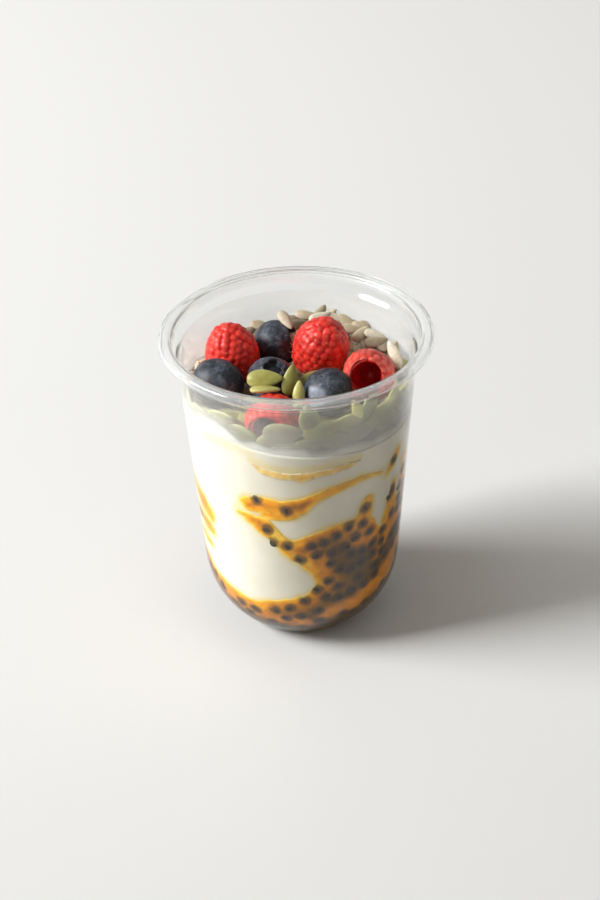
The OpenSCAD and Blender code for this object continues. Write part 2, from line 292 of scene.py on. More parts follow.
def clear_plastic():
    finish, tree, shader = new_finish("clear_plastic")
    shader.inputs["Base Color"].default_value = (0.96, 0.975, 0.97, 1.0)
    shader.inputs["Roughness"].default_value = 0.04
    shader.inputs["IOR"].default_value = 1.5
    tree.links.new(point_value(tree, "clearness"), shader.inputs["Transmission Weight"])
    through = tree.nodes.new("ShaderNodeBsdfTransparent")
    through.inputs["Color"].default_value = (0.97, 0.97, 0.96, 1.0)
    rays = tree.nodes.new("ShaderNodeLightPath")
    mix = tree.nodes.new("ShaderNodeMixShader")
    tree.links.new(rays.outputs["Is Shadow Ray"], mix.inputs["Fac"])
    tree.links.new(shader.outputs["BSDF"], mix.inputs[1])
    tree.links.new(through.outputs["BSDF"], mix.inputs[2])
    tree.links.new(mix.outputs["Shader"], tree.nodes["Material Output"].inputs["Surface"])
    return finish


print("finish:", clear_plastic.__name__)

# %% [markdown]
# The shell is the outline turned round the axis: up the outside, round the open roll of the rim and
# down the inside. A lathe form like this could also be a Screw modifier on a curve. Arrays keep the
# rings where the outline puts them, and close both ends on the axis.

# %% Cup shell
LIP = 0.9


def rim_line():
    """The rolled rim from the outside of the collar, round the outer lip, to the mouth."""
    roll = RIM_HEIGHT / 2.0
    top = CUP_H
    hollow_top = top - LIP
    lip_in = RIM_R - LIP
    line = [(COLLAR_R, hollow_top - 0.5), (COLLAR_R + 0.5, hollow_top), (lip_in - 0.5, hollow_top)]
    line += [(lip_in, hollow_top - 0.5), (lip_in, top - RIM_HEIGHT), (RIM_R, top - RIM_HEIGHT)]
    for angle in np.radians(np.linspace(0, 90, 8)):
        line.append((RIM_R - roll + roll * math.cos(angle), top - roll + roll * math.sin(angle)))
    for angle in np.radians(np.linspace(90, 180, 8)):
        line.append((MOUTH_R + roll + roll * math.cos(angle), top - roll + roll * math.sin(angle)))
    return line


def lathe_piece(name, line, finish, replaced):
    """A closed solid of revolution from a line that starts and ends on the axis."""
    rings = spin(line[1:-1], CUP_COLUMNS)
    points, faces = closed_rings(rings, [0, 0, line[0, 1]], [0, 0, line[-1, 1]])
    return make_piece(name, points, faces, finish, replaced)


outside = rounded(cup_line(0.0, CUP_H), 0.9, 1)
inside = rounded(cup_line(WALL, CUP_H), 0.9, 1)[::-1]
rim = rounded(rim_line(), 0.28, 1)
shell = lathe_piece(
    "cup_shell", np.vstack([outside, rim, inside]), clear_plastic(), ["cup"]
)
shell_z = np.array([corner.co.z for corner in shell.data.vertices]) / MM
add_values(shell, "clearness", 1.0 - 0.11 * smoothstep(STEP_LOW[1] + 3.0, CUP_H - 2.0, shell_z))

# %% [markdown]
# ## The marbling
# On the wall, a place is an angle round the cup and a height. The pulp is described there the way a
# spoon makes it: a surface that rises and falls round the cup, a big lobe of yogurt that pushes into
# it, and strokes of pulp that are dragged through the yogurt. Each stroke is a soft line with a
# radius at each of its points. The sum is one number for every place: how deep it is in the pulp.

# %% Strokes and curves on the wall
MM_PER_DEGREE = 0.655
WALL_R = 38.0


def curve_through(places, angle):
    """A smooth curve through (angle, height) places."""
    places = np.asarray(places, dtype=float)
    x = places[:, 0]
    y = places[:, 1]
    slope = np.gradient(y, x)
    i = np.clip(np.searchsorted(x, angle) - 1, 0, len(x) - 2)
    width = x[i + 1] - x[i]
    t = np.clip((angle - x[i]) / width, 0.0, 1.0)
    ends = y[i] * (1 + 2 * t) * (1 - t) ** 2 + y[i + 1] * t * t * (3 - 2 * t)
    bends = slope[i] * t * (1 - t) ** 2 - slope[i + 1] * t * t * (1 - t)
    return ends + bends * width


def stroke_depth(angle, height, stroke):
    """How deep each place is inside a stroke of (angle, height, radius) points, in millimetres."""
    px = np.asarray(angle, dtype=float) * MM_PER_DEGREE
    pz = np.asarray(height, dtype=float)
    best = np.full(px.shape, -1e3)
    for (a0, z0, r0), (a1, z1, r1) in zip(stroke, stroke[1:]):
        ax, bx = a0 * MM_PER_DEGREE, a1 * MM_PER_DEGREE
        dx, dz = bx - ax, z1 - z0
        along = np.clip(((px - ax) * dx + (pz - z0) * dz) / (dx * dx + dz * dz), 0.0, 1.0)
        gap = np.hypot(px - ax - along * dx, pz - z0 - along * dz)
        best = np.maximum(best, r0 + (r1 - r0) * along - gap)
    return best


print("the wall is", round(360 * MM_PER_DEGREE), "mm round")

# %% [markdown]
# These are the marbling's own values. The pulp's surface is a line round the whole cup. The fork and
# the fingers are strokes that rise from it, and three short strokes lie apart on the left. Amber
# lanes are places with few seeds, where clear jelly shows. The back is out of sight, and simpler.

# %% The pulp's shapes
PULP_TOP = [
    (-180, 52), (-150, 57), (-120, 50), (-98, 56), (-88, 50), (-80, 36), (-68, 31), (-56, 34),
    (-46, 52), (-39, 59.2), (-29, 61), (-22, 62), (-16, 61), (-12.5, 57), (-9, 54.6), (-4, 53),
    (3, 55), (10, 56.5), (21, 58), (28, 58.5), (34, 58), (42, 55), (48, 49.5), (52, 51), (58, 56),
    (66, 58), (78, 63), (90, 60), (106, 64), (128, 56), (150, 60), (180, 52),
]
YOGURT_LOBE = [(-3.5, 33.8, 6.6), (-11, 35, 9.4), (-21, 36.4, 12.4), (-33, 38.8, 16.6), (-48, 44.5, 19.6)]
FORK = [
    [(-31.5, 67.5, 1.2), (-28, 66.8, 3.0), (-19, 67.6, 3.7), (-10, 66.8, 3.2), (-1, 67.6, 3.5),
     (6, 70.7, 2.1), (17, 73.9, 1.7), (31, 75.2, 1.0), (47, 73.8, 0.5)],
    [(-20, 63.4, 1.0), (-13, 63.8, 2.6), (-5, 64.6, 2.4)],
    [(-35, 61.8, 0.7), (-28, 60.2, 2.3), (-20, 58.6, 2.8)],
    [(35, 55, 3.5), (36.5, 61, 2.8), (37.5, 64.5, 1.9)],
    [(54, 50, 3.0), (57, 58, 2.6), (58.5, 64.5, 1.5)],
    [(51, 71.5, 0.7), (56, 74.8, 2.4), (61, 78, 1.4)],
    [(70, 60, 3.0), (70, 72, 2.2)],
]
AMBER_LANES = [
    [(11, 42.5, 3.0), (8, 39, 4.8), (6, 33, 4.6), (4, 28, 3.4)],
    [(12, 17, 2.4), (22, 18.5, 3.8), (34, 20, 4.6), (48, 23.5, 5.2), (61, 28, 5.2), (78, 36, 4.2)],
    [(46, 36, 2.2), (52, 43, 3.4), (60, 47, 3.8), (72, 48, 3.0)],
    [(28, 49, 1.6), (38, 46, 2.2), (46, 48, 1.8)],
    [(-52, 21, 2.2), (-34, 16.5, 2.6), (-14, 14, 2.4), (2, 13, 1.6)],
    [(100, 45, 4.0), (120, 30, 5.0), (150, 40, 4.0)], [(-170, 20, 4.0), (-140, 34, 5.0), (-110, 30, 3.0)],
]
UPPER_SWIRL = [(-24, 84.6, 0.6), (-19, 82.4, 1.3), (-12, 81.2, 1.5), (-3, 80.8, 1.5), (1, 80.3, 2.2),
               (7, 81.2, 1.6), (16, 82.0, 1.5), (25, 82.6, 1.3), (31, 83.4, 0.5)]
LEFT_SWIRL = [
    [(-90, 66, 1.0), (-78, 60, 3.6), (-66, 55.5, 4.2), (-59, 52.8, 2.6), (-57.5, 50.5, 1.0)],
    [(-92, 50, 2.4), (-76, 48.2, 2.6), (-63, 46.6, 3.1), (-58.5, 45.4, 1.8)],
    [(-80, 40.5, 1.0), (-70, 39, 2.1), (-63, 37.6, 0.9)],
]


def wobble(angle, height, amount, size, seed):
    """Small sideways shifts of a place, so that no stroke has an even edge."""
    turn = np.radians(angle)
    place = np.stack([WALL_R * np.sin(turn), WALL_R * np.cos(turn), height + 0 * turn], axis=-1)
    side = cloud(place, size, seed) * amount / MM_PER_DEGREE
    return angle + side, height + cloud(place, size, seed + 1) * amount


def pulp_depth(angle, height):
    """How deep each place is in the deep pulp or its fork, in millimetres, negative in the yogurt."""
    angle, height = wobble(angle, height, 0.55, 4.0, 3)
    depth = curve_through(PULP_TOP, angle) - height
    depth = np.minimum(depth, -stroke_depth(angle, height, YOGURT_LOBE))
    for stroke in FORK:
        depth = np.maximum(depth, stroke_depth(angle, height, stroke))
    return depth


def upper_swirl_depth(angle, height):
    angle, height = wobble(angle, height, 0.35, 3.0, 5)
    return stroke_depth(angle, height, UPPER_SWIRL)


def left_swirl_depth(angle, height):
    angle, height = wobble(angle, height, 0.45, 3.5, 7)
    return np.max([stroke_depth(angle, height, stroke) for stroke in LEFT_SWIRL], axis=0)


front = np.arange(-60, 61, 30)
print("pulp depth at 60 mm round the front:", np.round(pulp_depth(front, np.full(5, 60.0)), 1))

# %% [markdown]
# ## Yogurt
# Yogurt is a thick white cream. It wets the wall a little above its level, most on the left, where
# some was smeared. The body is a lathe form whose top rows follow that edge, and then turn inwards
# to a low uneven top under the seeds. Its finish is soft and moist, with light scattering inside.
# Near the pulp it takes a yellow tint, so a value at each point says how near the pulp is.

# %% Yogurt finish
def colour_ramp(tree, stops, source):
    ramp = tree.nodes.new("ShaderNodeValToRGB")
    ramp.color_ramp.interpolation = "EASE"
    while len(ramp.color_ramp.elements) < len(stops):
        ramp.color_ramp.elements.new(0.5)
    for element, (place, colour) in zip(ramp.color_ramp.elements, stops):
        element.position = place
        element.color = (*colour, 1.0)
    tree.links.new(source, ramp.inputs["Fac"])
    return ramp.outputs["Color"]


def noise_value(tree, scale, detail=3.0, roughness=0.55):
    coords = tree.nodes.new("ShaderNodeTexCoord")
    noise = tree.nodes.new("ShaderNodeTexNoise")
    noise.inputs["Scale"].default_value = scale
    noise.inputs["Detail"].default_value = detail
    noise.inputs["Roughness"].default_value = roughness
    tree.links.new(coords.outputs["Object"], noise.inputs["Vector"])
    return noise.outputs["Fac"]


def add_bump(tree, shader, height, strength, distance):
    bump = tree.nodes.new("ShaderNodeBump")
    bump.inputs["Strength"].default_value = strength
    bump.inputs["Distance"].default_value = distance
    tree.links.new(height, bump.inputs["Height"])
    tree.links.new(bump.outputs["Normal"], shader.inputs["Normal"])


def blend_colours(tree, factor, first, second, mode="MIX"):
    mix = tree.nodes.new("ShaderNodeMix")
    mix.data_type = "RGBA"
    mix.blend_type = mode
    for socket, value in (("Factor_Float", factor), ("A_Color", first), ("B_Color", second)):
        target = next(s for s in mix.inputs if s.identifier == socket)
        if isinstance(value, (int, float)):
            target.default_value = value
        elif isinstance(value, tuple):
            target.default_value = (*value, 1.0)
        else:
            tree.links.new(value, target)
    return next(s for s in mix.outputs if s.identifier == "Result_Color")


def set_surface(shader, colour, roughness, specular=0.5, scatter=None):
    """Sets a surface's colour and gloss, and the light scattered in it: weight, radius and scale."""
    shader.id_data.links.new(colour, shader.inputs["Base Color"])
    shader.inputs["Roughness"].default_value = roughness
    shader.inputs["Specular IOR Level"].default_value = specular
    if scatter:
        for name, value in zip(("Weight", "Radius", "Scale"), scatter):
            shader.inputs[f"Subsurface {name}"].default_value = value


def yogurt_finish():
    finish, tree, shader = new_finish("yogurt")
    cream = colour_ramp(
        tree, [(0.3, (0.77, 0.73, 0.62)), (0.7, (0.82, 0.78, 0.675))], noise_value(tree, 60.0)
    )
    tint = colour_ramp(
        tree,
        [(0.0, (1.0, 1.0, 1.0)), (0.5, (1.0, 0.92, 0.66)), (1.0, (1.0, 0.74, 0.16))],
        point_value(tree, "near_pulp"),
    )
    colour = blend_colours(tree, 1.0, cream, tint, "MULTIPLY")
    set_surface(shader, colour, roughness=0.45, specular=0.25, scatter=(0.35, (1.0, 0.9, 0.7), 0.002))
    add_bump(tree, shader, noise_value(tree, 320.0), 0.12, 0.0004)
    return finish


print("finish:", yogurt_finish.__name__)

# %% [markdown]
# The body could be sculpted, but its edge has to follow the wall exactly. So the cup's own line is
# turned round the axis, its top rows are stretched to the edge's height, and more rows turn inwards
# under the seeds.

# %% Yogurt body
YOGURT_REACH = 0.12
YOGURT_EDGE = [
    (-180, 89), (-140, 90), (-100, 90), (-66, 90.5), (-52, 93.5), (-45, 94.5), (-36, 93), (-26, 91.3),
    (-17, 90.6), (-8, 89.9), (1, 89.3), (12, 88.6), (21, 88.2), (38, 87.2), (61, 87.2), (90, 88),
    (120, 89.5), (180, 89),
]
YOGURT_STRETCH_FROM = 76.0
YOGURT_MIDDLE = 88.0
YOGURT_COLUMNS = 240
TOP_ROWS = 25
TOP_LEVEL = 86.9
TOP_CLOSES = 0.985
EDGE_SHARE = 0.06
BY_THE_FORK = [(-34, 63, 3.0), (-28, 66, 3.5)]
SMEAR = [(-62, 88, 1.0), (-40, 90, 2.4), (-24, 89, 1.5)]


def yogurt_rings(angles):
    """Rings of the yogurt up the wall, then inwards to the middle of its top."""
    low_line = rounded(cup_line(WALL - YOGURT_REACH, YOGURT_MIDDLE), 1.2, 1)
    rings = spin(low_line[1:], len(angles))
    edge = curve_through(YOGURT_EDGE, angles)
    share = np.clip((rings[..., 2] - YOGURT_STRETCH_FROM) / (YOGURT_MIDDLE - YOGURT_STRETCH_FROM), 0, 1)
    z = rings[..., 2] + share * (edge - YOGURT_MIDDLE)
    r = np.where(share > 0, wall_radius(z, WALL - YOGURT_REACH), low_line[1:, 0][:, None])
    inward = (np.arange(1, TOP_ROWS + 1) / TOP_ROWS)[:, None]
    fallen = smoothstep(0.0, EDGE_SHARE, inward)
    r = np.vstack([r, r[-1] * (1.0 - inward * TOP_CLOSES)])
    z = np.vstack([z, edge - (edge - TOP_LEVEL) * fallen])
    turn = np.radians(angles)
    points = np.stack([r * np.sin(turn), -r * np.cos(turn), z], axis=-1)
    lumps = cloud(points[-TOP_ROWS:], 7.0, 21) * 0.5
    points[-TOP_ROWS:, :, 2] += lumps * np.linspace(0.0, 1.0, TOP_ROWS)[:, None]
    return points, low_line[0, 1]


def yellow_glow(flat, angle):
    """How yellow each point is: next to pulp, round the upper swirl, and where yogurt is smeared."""
    height = flat[:, 2]
    near = np.maximum(pulp_depth(angle, height), left_swirl_depth(angle, height))
    glow = 0.75 * smoothstep(-2.2, 0.0, near + 0.8 * cloud(flat, 5.0, 31))
    halo = [(a, z + 1.6, r + 0.9) for a, z, r in UPPER_SWIRL]
    for stroke, strength, start, full in (
        (halo, 0.5, -1.2, 1.0), (BY_THE_FORK, 0.45, -2.0, 2.0), (SMEAR, 0.3, -2.0, 1.5),
    ):
        near = stroke_depth(angle, height, stroke)
        glow = np.maximum(glow, strength * smoothstep(start, full, near))
    return glow


def yogurt_body():
    angles = np.linspace(-180, 180, YOGURT_COLUMNS, endpoint=False)
    points, base = yogurt_rings(angles)
    top_middle = float(points[-1, :, 2].mean())
    closed, faces = closed_rings(points, [0.0, 0.0, base], [0.0, 0.0, top_middle])
    body = make_piece("yogurt_body", closed, faces, yogurt_finish(), ["yogurt"])
    glow = yellow_glow(points.reshape(-1, 3), np.tile(angles, len(points)))
    add_values(body, "near_pulp", np.r_[glow, 0.0, 0.0])


yogurt_body()

# %% [markdown]
# ## Passion fruit pulp
# The pulp is a wet orange jelly full of dark seeds. Its pieces are cut out of the wall's grid where
# the depth passes zero, so their edges follow the marbling smoothly, and each piece is given a body
# that runs in towards the cup's middle. Cutting a fine grid this way is called marching triangles.
# The alternative, a painted mask on one surface, would blur the edges and leave no real pieces.

# %% Cut a skin from the wall
def cut_skin(points, values):
    """Keeps the part of a ring grid where values are above zero. Returns points, faces and values."""
    flat = points.reshape(-1, 3)
    level = values.reshape(-1)
    columns = points.shape[1]
    new_points, new_values, number, cuts = [], [], {}, {}

    def corner(i):
        if i not in number:
            number[i] = len(new_points)
            new_points.append(flat[i])
            new_values.append(level[i])
        return number[i]

    def cut(i, j):
        key = (min(i, j), max(i, j))
        if key not in cuts:
            a, b = key
            share = level[a] / (level[a] - level[b])
            cuts[key] = len(new_points)
            new_points.append(flat[a] + (flat[b] - flat[a]) * share)
            new_values.append(0.0)
        return cuts[key]

    faces = []
    above = values > 0
    right = np.roll(above, -1, axis=1)
    inside_any = above[:-1] | above[1:] | right[:-1] | right[1:]
    for i, j in zip(*np.nonzero(inside_any)):
        k = (j + 1) % columns
        a, b = i * columns + j, i * columns + k
        c, d = b + columns, a + columns
        for triangle in ((a, b, c), (a, c, d)):
            ring = []
            for p, q in zip(triangle, triangle[1:] + triangle[:1]):
                if level[p] > 0:
                    ring.append(corner(p))
                if (level[p] > 0) != (level[q] > 0):
                    ring.append(cut(p, q))
            if len(ring) > 2:
                faces.append(tuple(ring))
    return np.array(new_points), faces, np.array(new_values)


def thicken(points, faces, inner):
    """Closes a skin with a second skin at the inner points and walls along its open edges."""
    count = len(points)
    seen = {}
    for face in faces:
        for p, q in zip(face, face[1:] + face[:1]):
            seen[(p, q)] = True
    walls = [(q, p, p + count, q + count) for p, q in seen if (q, p) not in seen]
    back = [tuple(i + count for i in reversed(face)) for face in faces]
    return np.vstack([points, inner]), faces + back + walls


WALL_COLUMNS = 420
GRID_STEP = 0.75
CUP_MIDDLE = np.array([0.0, 0.0, 46.0])
print("wall grid columns:", WALL_COLUMNS)

# %% [markdown]
# Both the pulp and its seeds are laid out on the wall. The pulp is cut from a fine grid of rings. The
# seeds that show most have places of their own. The others are dropped at random, and one that falls
# too near another, outside the deep pulp or in an amber lane is left out.

# %% Wall grid and pulp seeds' places
PULP_REACH = 0.24
SEED_SPACING = 4.3
SEED_TRIES = 9000
SEEDS_UP_TO = 58.0
SEED_MARGIN = 3.2
SHOWN_SEEDS = [
    (-23.3, 69.6), (-7.6, 66), (-16, 51.5), (-1.4, 44.2), (5, 50), (12, 51), (19, 53), (26, 56), (16, 45.5),
    (35, 38), (21, 38), (28, 43), (54, 60), (36, 61.5), (57.5, 62), (43, 44), (13, 26), (29, 26),
    (1, 25), (-17, 19.5), (-2, 17), (10, 13.5), (-31, 17.5), (-41, 18.5), (59, 51), (56.5, 75), (66, 60),
    (40, 50), (50, 42), (8, 30), (20, 30), (33, 31), (-75, 47.5), (-8, 21.5), (46, 33), (70, 66),
]


def wall_grid(inset, low, high):
    """Rings of points on the inside of the wall, with their angles and heights."""
    line = rounded(cup_line(WALL - inset, high), GRID_STEP, 1)
    line = line[line[:, 0] > 0.4]
    line = line[(line[:, 1] > low) | (low <= 0)]
    angles = np.linspace(-180.0, 180.0, WALL_COLUMNS, endpoint=False)
    turn = np.radians(angles)
    r = line[:, 0][:, None]
    z = np.repeat(line[:, 1][:, None], WALL_COLUMNS, axis=1)
    points = np.stack([r * np.sin(turn), -r * np.cos(turn), z], axis=-1)
    return points, np.tile(angles, (len(line), 1)), z


def scatter_seeds():
    """Points of the seeds on the wall: those that show most, then random ones at a distance."""
    random = np.random.default_rng(5)
    where = [wall_point(a, z) for a, z in SHOWN_SEEDS]
    for _ in range(SEED_TRIES):
        angle = random.uniform(-180, 180)
        height = random.uniform(3.0, SEEDS_UP_TO)
        if float(wall_radius(height)) < random.uniform(0, WALL_R):
            continue
        if pulp_depth(np.array([angle]), np.array([height]))[0] < SEED_MARGIN:
            continue
        if max(float(stroke_depth(angle, height, lane)) for lane in AMBER_LANES) > 0.5:
            continue
        point = wall_point(angle, height)
        if min(np.linalg.norm(point - other) for other in where) > SEED_SPACING:
            where.append(point)
    return np.array(where)


def wall_point(angle, height, depth=0.0):
    r = float(wall_radius(height)) - depth
    turn = math.radians(angle)
    return np.array([r * math.sin(turn), -r * math.cos(turn), height])


seed_points = scatter_seeds()
print(len(seed_points), "pulp seeds lie at the wall")

# %% [markdown]
# The pulp's colour changes with depth. At its edge it is thinned with yogurt and glows yellow, then
# comes clear orange, and where seeds crowd the jelly it turns brown and dull. Round each seed is a
# darker halo, because the sac that holds it is clear. All this is a ramp over the depth at each
# point, broken up by a cloud, so no two places look the same.

# %% Pulp finish
def pulp_finish(name, stops):
    finish, tree, shader = new_finish(name)
    ramp = colour_ramp(tree, stops, point_value(tree, "depth_in_pulp"))
    fibres = colour_ramp(
        tree, [(0.3, (0.80, 0.74, 0.68)), (0.7, (1.12, 1.1, 1.05))], noise_value(tree, 260.0, 5.0, 0.65)
    )
    colour = blend_colours(tree, 1.0, ramp, fibres, "MULTIPLY")
    dark = blend_colours(tree, point_value(tree, "near_seed"), colour, (0.075, 0.048, 0.022))
    set_surface(shader, dark, roughness=0.4, specular=0.08, scatter=(0.12, (1.0, 0.45, 0.05), 0.0012))
    add_bump(tree, shader, noise_value(tree, 420.0), 0.15, 0.0004)
    return finish


DEEP_PULP_COLOURS = [
    (0.0, (0.96, 0.66, 0.08)), (0.10, (0.95, 0.47, 0.0)), (0.28, (0.78, 0.30, 0.0)),
    (0.50, (0.50, 0.205, 0.004)), (0.78, (0.29, 0.125, 0.004)), (1.0, (0.19, 0.088, 0.006)),
]
STREAK_COLOURS = [(0.0, (0.84, 0.73, 0.50)), (0.5, (0.90, 0.66, 0.22)), (1.0, (0.90, 0.50, 0.05))]
print("pulp colours run from", DEEP_PULP_COLOURS[0][1], "to", DEEP_PULP_COLOURS[-1][1])

# %% [markdown]
# Each piece of pulp is a skin that is cut from the grid and thickened towards the cup's middle, deep
# for the mass and thin for the swirls. Two values go to its points for the finish: how deep in the
# pulp they are, and how near a seed.

# %% Pulp pieces
def near_seeds(points):
    """1 at a seed, falling to 0 a little way outside its edge."""
    nearest = np.full(len(points), 99.0)
    for place in seed_points:
        nearest = np.minimum(nearest, np.linalg.norm(points - place, axis=1))
    return 0.85 * (1.0 - smoothstep(1.5, 3.1, nearest + 0.5 * cloud(points, 1.6, 41)))


def pulp_piece(name, depth_of, low, high, inner_share, full_depth, finish, replaced):
    points, angles, heights = wall_grid(PULP_REACH, low, high)
    values = depth_of(angles, heights)
    skin, faces, depth = cut_skin(points, values)
    inner = CUP_MIDDLE + (skin - CUP_MIDDLE) * inner_share
    body, body_faces = thicken(skin, faces, inner)
    piece = make_piece(name, body, body_faces, finish, replaced)
    murk = 0.30 * cloud(skin, 8.0, 51) + 0.16 * cloud(skin, 3.0, 52)
    shade = np.clip(depth / full_depth + murk * smoothstep(0.6, 3.0, depth), 0.0, 1.0)
    angles_in = np.degrees(np.arctan2(skin[:, 0], -skin[:, 1]))
    for lane in AMBER_LANES:
        inside_lane = smoothstep(-3.0, 2.0, stroke_depth(angles_in, skin[:, 2], lane) + murk * 5.0)
        shade = shade + (np.minimum(shade, 0.22) - shade) * inside_lane
    add_values(piece, "depth_in_pulp", np.r_[shade, shade])
    near = near_seeds(skin)
    add_values(piece, "near_seed", np.r_[near, near])


pulp_piece(
    "pulp_mass", pulp_depth, low=0.0, high=80.0, inner_share=0.55, full_depth=12.0,
    finish=pulp_finish("pulp", DEEP_PULP_COLOURS), replaced=["pulp"],
)
pulp_piece(
    "pulp_upper_swirl", upper_swirl_depth, low=70.0, high=87.0, inner_share=0.94, full_depth=2.0,
    finish=pulp_finish("pulp_streak", STREAK_COLOURS), replaced=["upper_swirl"],
)
pulp_piece(
    "pulp_left_swirl", left_swirl_depth, low=30.0, high=75.0, inner_share=0.90, full_depth=9.0,
    finish=pulp_finish("pulp_left_streak", DEEP_PULP_COLOURS),
    replaced=["left_swirl"],
)

# %% [markdown]
# Passion fruit seeds are flat dark drops about 5 mm long. Those at the wall lie flat against it.
# One seed form is a squashed ball that narrows to one end, and it is turned to lie on the wall.

# %% Pulp seeds
PULP_SEED = np.array([5.3, 3.7, 1.9])
SEED_POINT = 0.35
SEED_STANDS_OUT = 0.12


def oval_rings(length, width, rows, columns, fullness, point, hold):
    """Rings along a seed that narrows to its far end by the share point, later where hold is high."""
    t = np.linspace(0.0, math.pi, rows)[1:-1]
    along = -np.cos(t)
    girth = np.sin(t) ** fullness * (1.0 - point * ((along + 1.0) / 2.0) ** hold)
    girth = (girth / girth.max())[:, None]
    a = np.linspace(0.0, 2.0 * math.pi, columns, endpoint=False)
    x = np.repeat((along * length / 2.0)[:, None], columns, axis=1)
    return x, girth * np.cos(a) * width / 2.0, girth, a


def drop_form(length, width, thickness, point):
    """A flat seed, rounded at one end and narrower at the other."""
    x, y, girth, a = oval_rings(length, width, 9, 10, 0.9, point, 1.0)
    z = girth * np.sin(a) * thickness / 2.0
    rings = np.stack([x, y, z], axis=-1)
    return closed_rings(rings, [-length / 2.0, 0, 0], [length / 2.0, 0, 0], inside_out=True)


def basis(forward, up):
    """Three square axes as columns: along, across and up."""
    up = np.asarray(up, dtype=float) / np.linalg.norm(up)
    forward = np.asarray(forward, dtype=float)
    forward = forward - up * forward.dot(up)
    forward = forward / np.linalg.norm(forward)
    return np.column_stack([forward, np.cross(up, forward), up])


def gather(parts):
    """Joins (points, faces) parts into one."""
    points, faces, first = [], [], 0
    for part_points, part_faces in parts:
        points.append(part_points)
        faces += [tuple(i + first for i in face) for face in part_faces]
        first += len(part_points)
    return np.vstack(points), faces


def seed_finish():
    finish, tree, shader = new_finish("pulp_seed")
    colour = colour_ramp(
        tree, [(0.3, (0.026, 0.018, 0.011)), (0.7, (0.075, 0.052, 0.030))], noise_value(tree, 300.0)
    )
    set_surface(shader, colour, roughness=0.45, specular=0.12)
    return finish


def pulp_seeds():
    random = np.random.default_rng(8)
    parts = []
    for point in seed_points:
        out = np.array([point[0], point[1], 0.0])
        out = out / np.linalg.norm(out)
        fall = max(0.0, (ARC_Z - point[2]) / CORNER_R)
        out = out * math.sqrt(max(0.02, 1 - fall * fall)) + np.array([0, 0, -fall])
        turn = random.uniform(0, 2 * math.pi)
        side = np.cross(out, [0.3, 0.2, 1.0])
        side = side / np.linalg.norm(side)
        forward = side * math.cos(turn) + np.cross(out, side) * math.sin(turn)
        size = random.uniform(0.85, 1.12)
        form, faces = drop_form(*(PULP_SEED * size), SEED_POINT)
        centre = point - out * (PULP_SEED[2] / 2.0 * size - PULP_REACH - SEED_STANDS_OUT)
        parts.append((form @ basis(forward, out).T + centre, faces))
    points, faces = gather(parts)
    return make_piece("pulp_seeds", points, faces, seed_finish())


pulp_seeds()

# %% [markdown]
# ## Berries
# Each berry has a place: an angle round the cup, a distance from the axis, a height, a diameter,
# and a lean of its tip or crown with the side that it leans to. The seeds leave room for them.

# %% Where the berries are
BERRIES = {
    "raspberry_left": (-120, 26.3, 98.1, 19.0, 10, -60),
    "raspberry_middle": (143, 14.2, 101.0, 19.4, 18, 40),
    "raspberry_right": (81.8, 25.2, 98.2, 18.2, 120, 170),
    "raspberry_front": (-18, 28.9, 97.0, 18.2, 99, 168),
    "blueberry_left": (-79, 28.0, 98.4, 18.1, 150, -60),
    "blueberry_back": (-162.8, 24.3, 96.6, 16.9, 62, 75),
    "blueberry_middle": (-54, 11.0, 99.0, 17.4, 24, 20),
    "blueberry_front": (33.1, 18.1, 99.5, 17.4, 150, 80),
}


def berry_place(name):
    """Middle of a berry and the matrix that turns its own axes to its lean."""
    angle, r, z, _, lean, side = BERRIES[name]
    turn = math.radians(angle)
    middle = np.array([r * math.sin(turn), -r * math.cos(turn), z])
    tilt = Matrix.Rotation(math.radians(side), 3, "Z") @ Matrix.Rotation(math.radians(lean), 3, "X")
    return middle, np.array(tilt)


berry_middles = np.array([berry_place(name)[0] for name in BERRIES])
berry_radii = np.array([BERRIES[name][3] / 2.0 for name in BERRIES])
print(len(BERRIES), "berries")

# %% [markdown]
# A raspberry is a thimble of small juicy balls, the drupelets. They stand in staggered rows, and
# each is a full little dome, so the berry is a lathe form whose surface is pushed out by the
# nearest dome. A berry that was picked off its core is hollow, with a soft wavy edge.

# %% Raspberry form
DRUPELET_SPACE = 2.5
DRUPELET_R = 1.7
DRUPELET_RISE = 1.15
RASPBERRY_COLUMNS = 108
RASPBERRY_TURN = math.radians(148)
TIP_SHARE = 0.53
TIP_FULLNESS = 1.08
MOUTH_FULLNESS = 0.8
HOLLOW_SHARE = 0.66


def raspberry_outline(diameter, length, hollow_r):
    """Points of half a raspberry from its tip over its widest part into its hollow."""
    turn = RASPBERRY_TURN * np.linspace(0.012, 1.0, 58)
    above = turn < math.pi / 2
    r = (diameter / 2.0 - 0.8) * np.sin(turn) ** np.where(above, TIP_FULLNESS, MOUTH_FULLNESS)
    below = (1.0 - TIP_SHARE) / abs(math.cos(RASPBERRY_TURN))
    z = length * np.cos(turn) * np.where(above, TIP_SHARE, below)
    mouth = z[-1]
    depth = HOLLOW_SHARE * length
    inner = [
        (hollow_r + 0.9, mouth - 0.35), (hollow_r + 0.2, mouth), (hollow_r - 0.1, mouth + 0.8),
        (hollow_r * 0.94, mouth + depth * 0.25), (hollow_r * 0.86, mouth + depth * 0.5),
        (hollow_r * 0.68, mouth + depth * 0.75), (hollow_r * 0.4, mouth + depth * 0.93),
        (hollow_r * 0.1, mouth + depth),
    ]
    inner = rounded(inner, 0.6, 1)
    return np.vstack([np.column_stack([r, z]), inner]), len(turn)


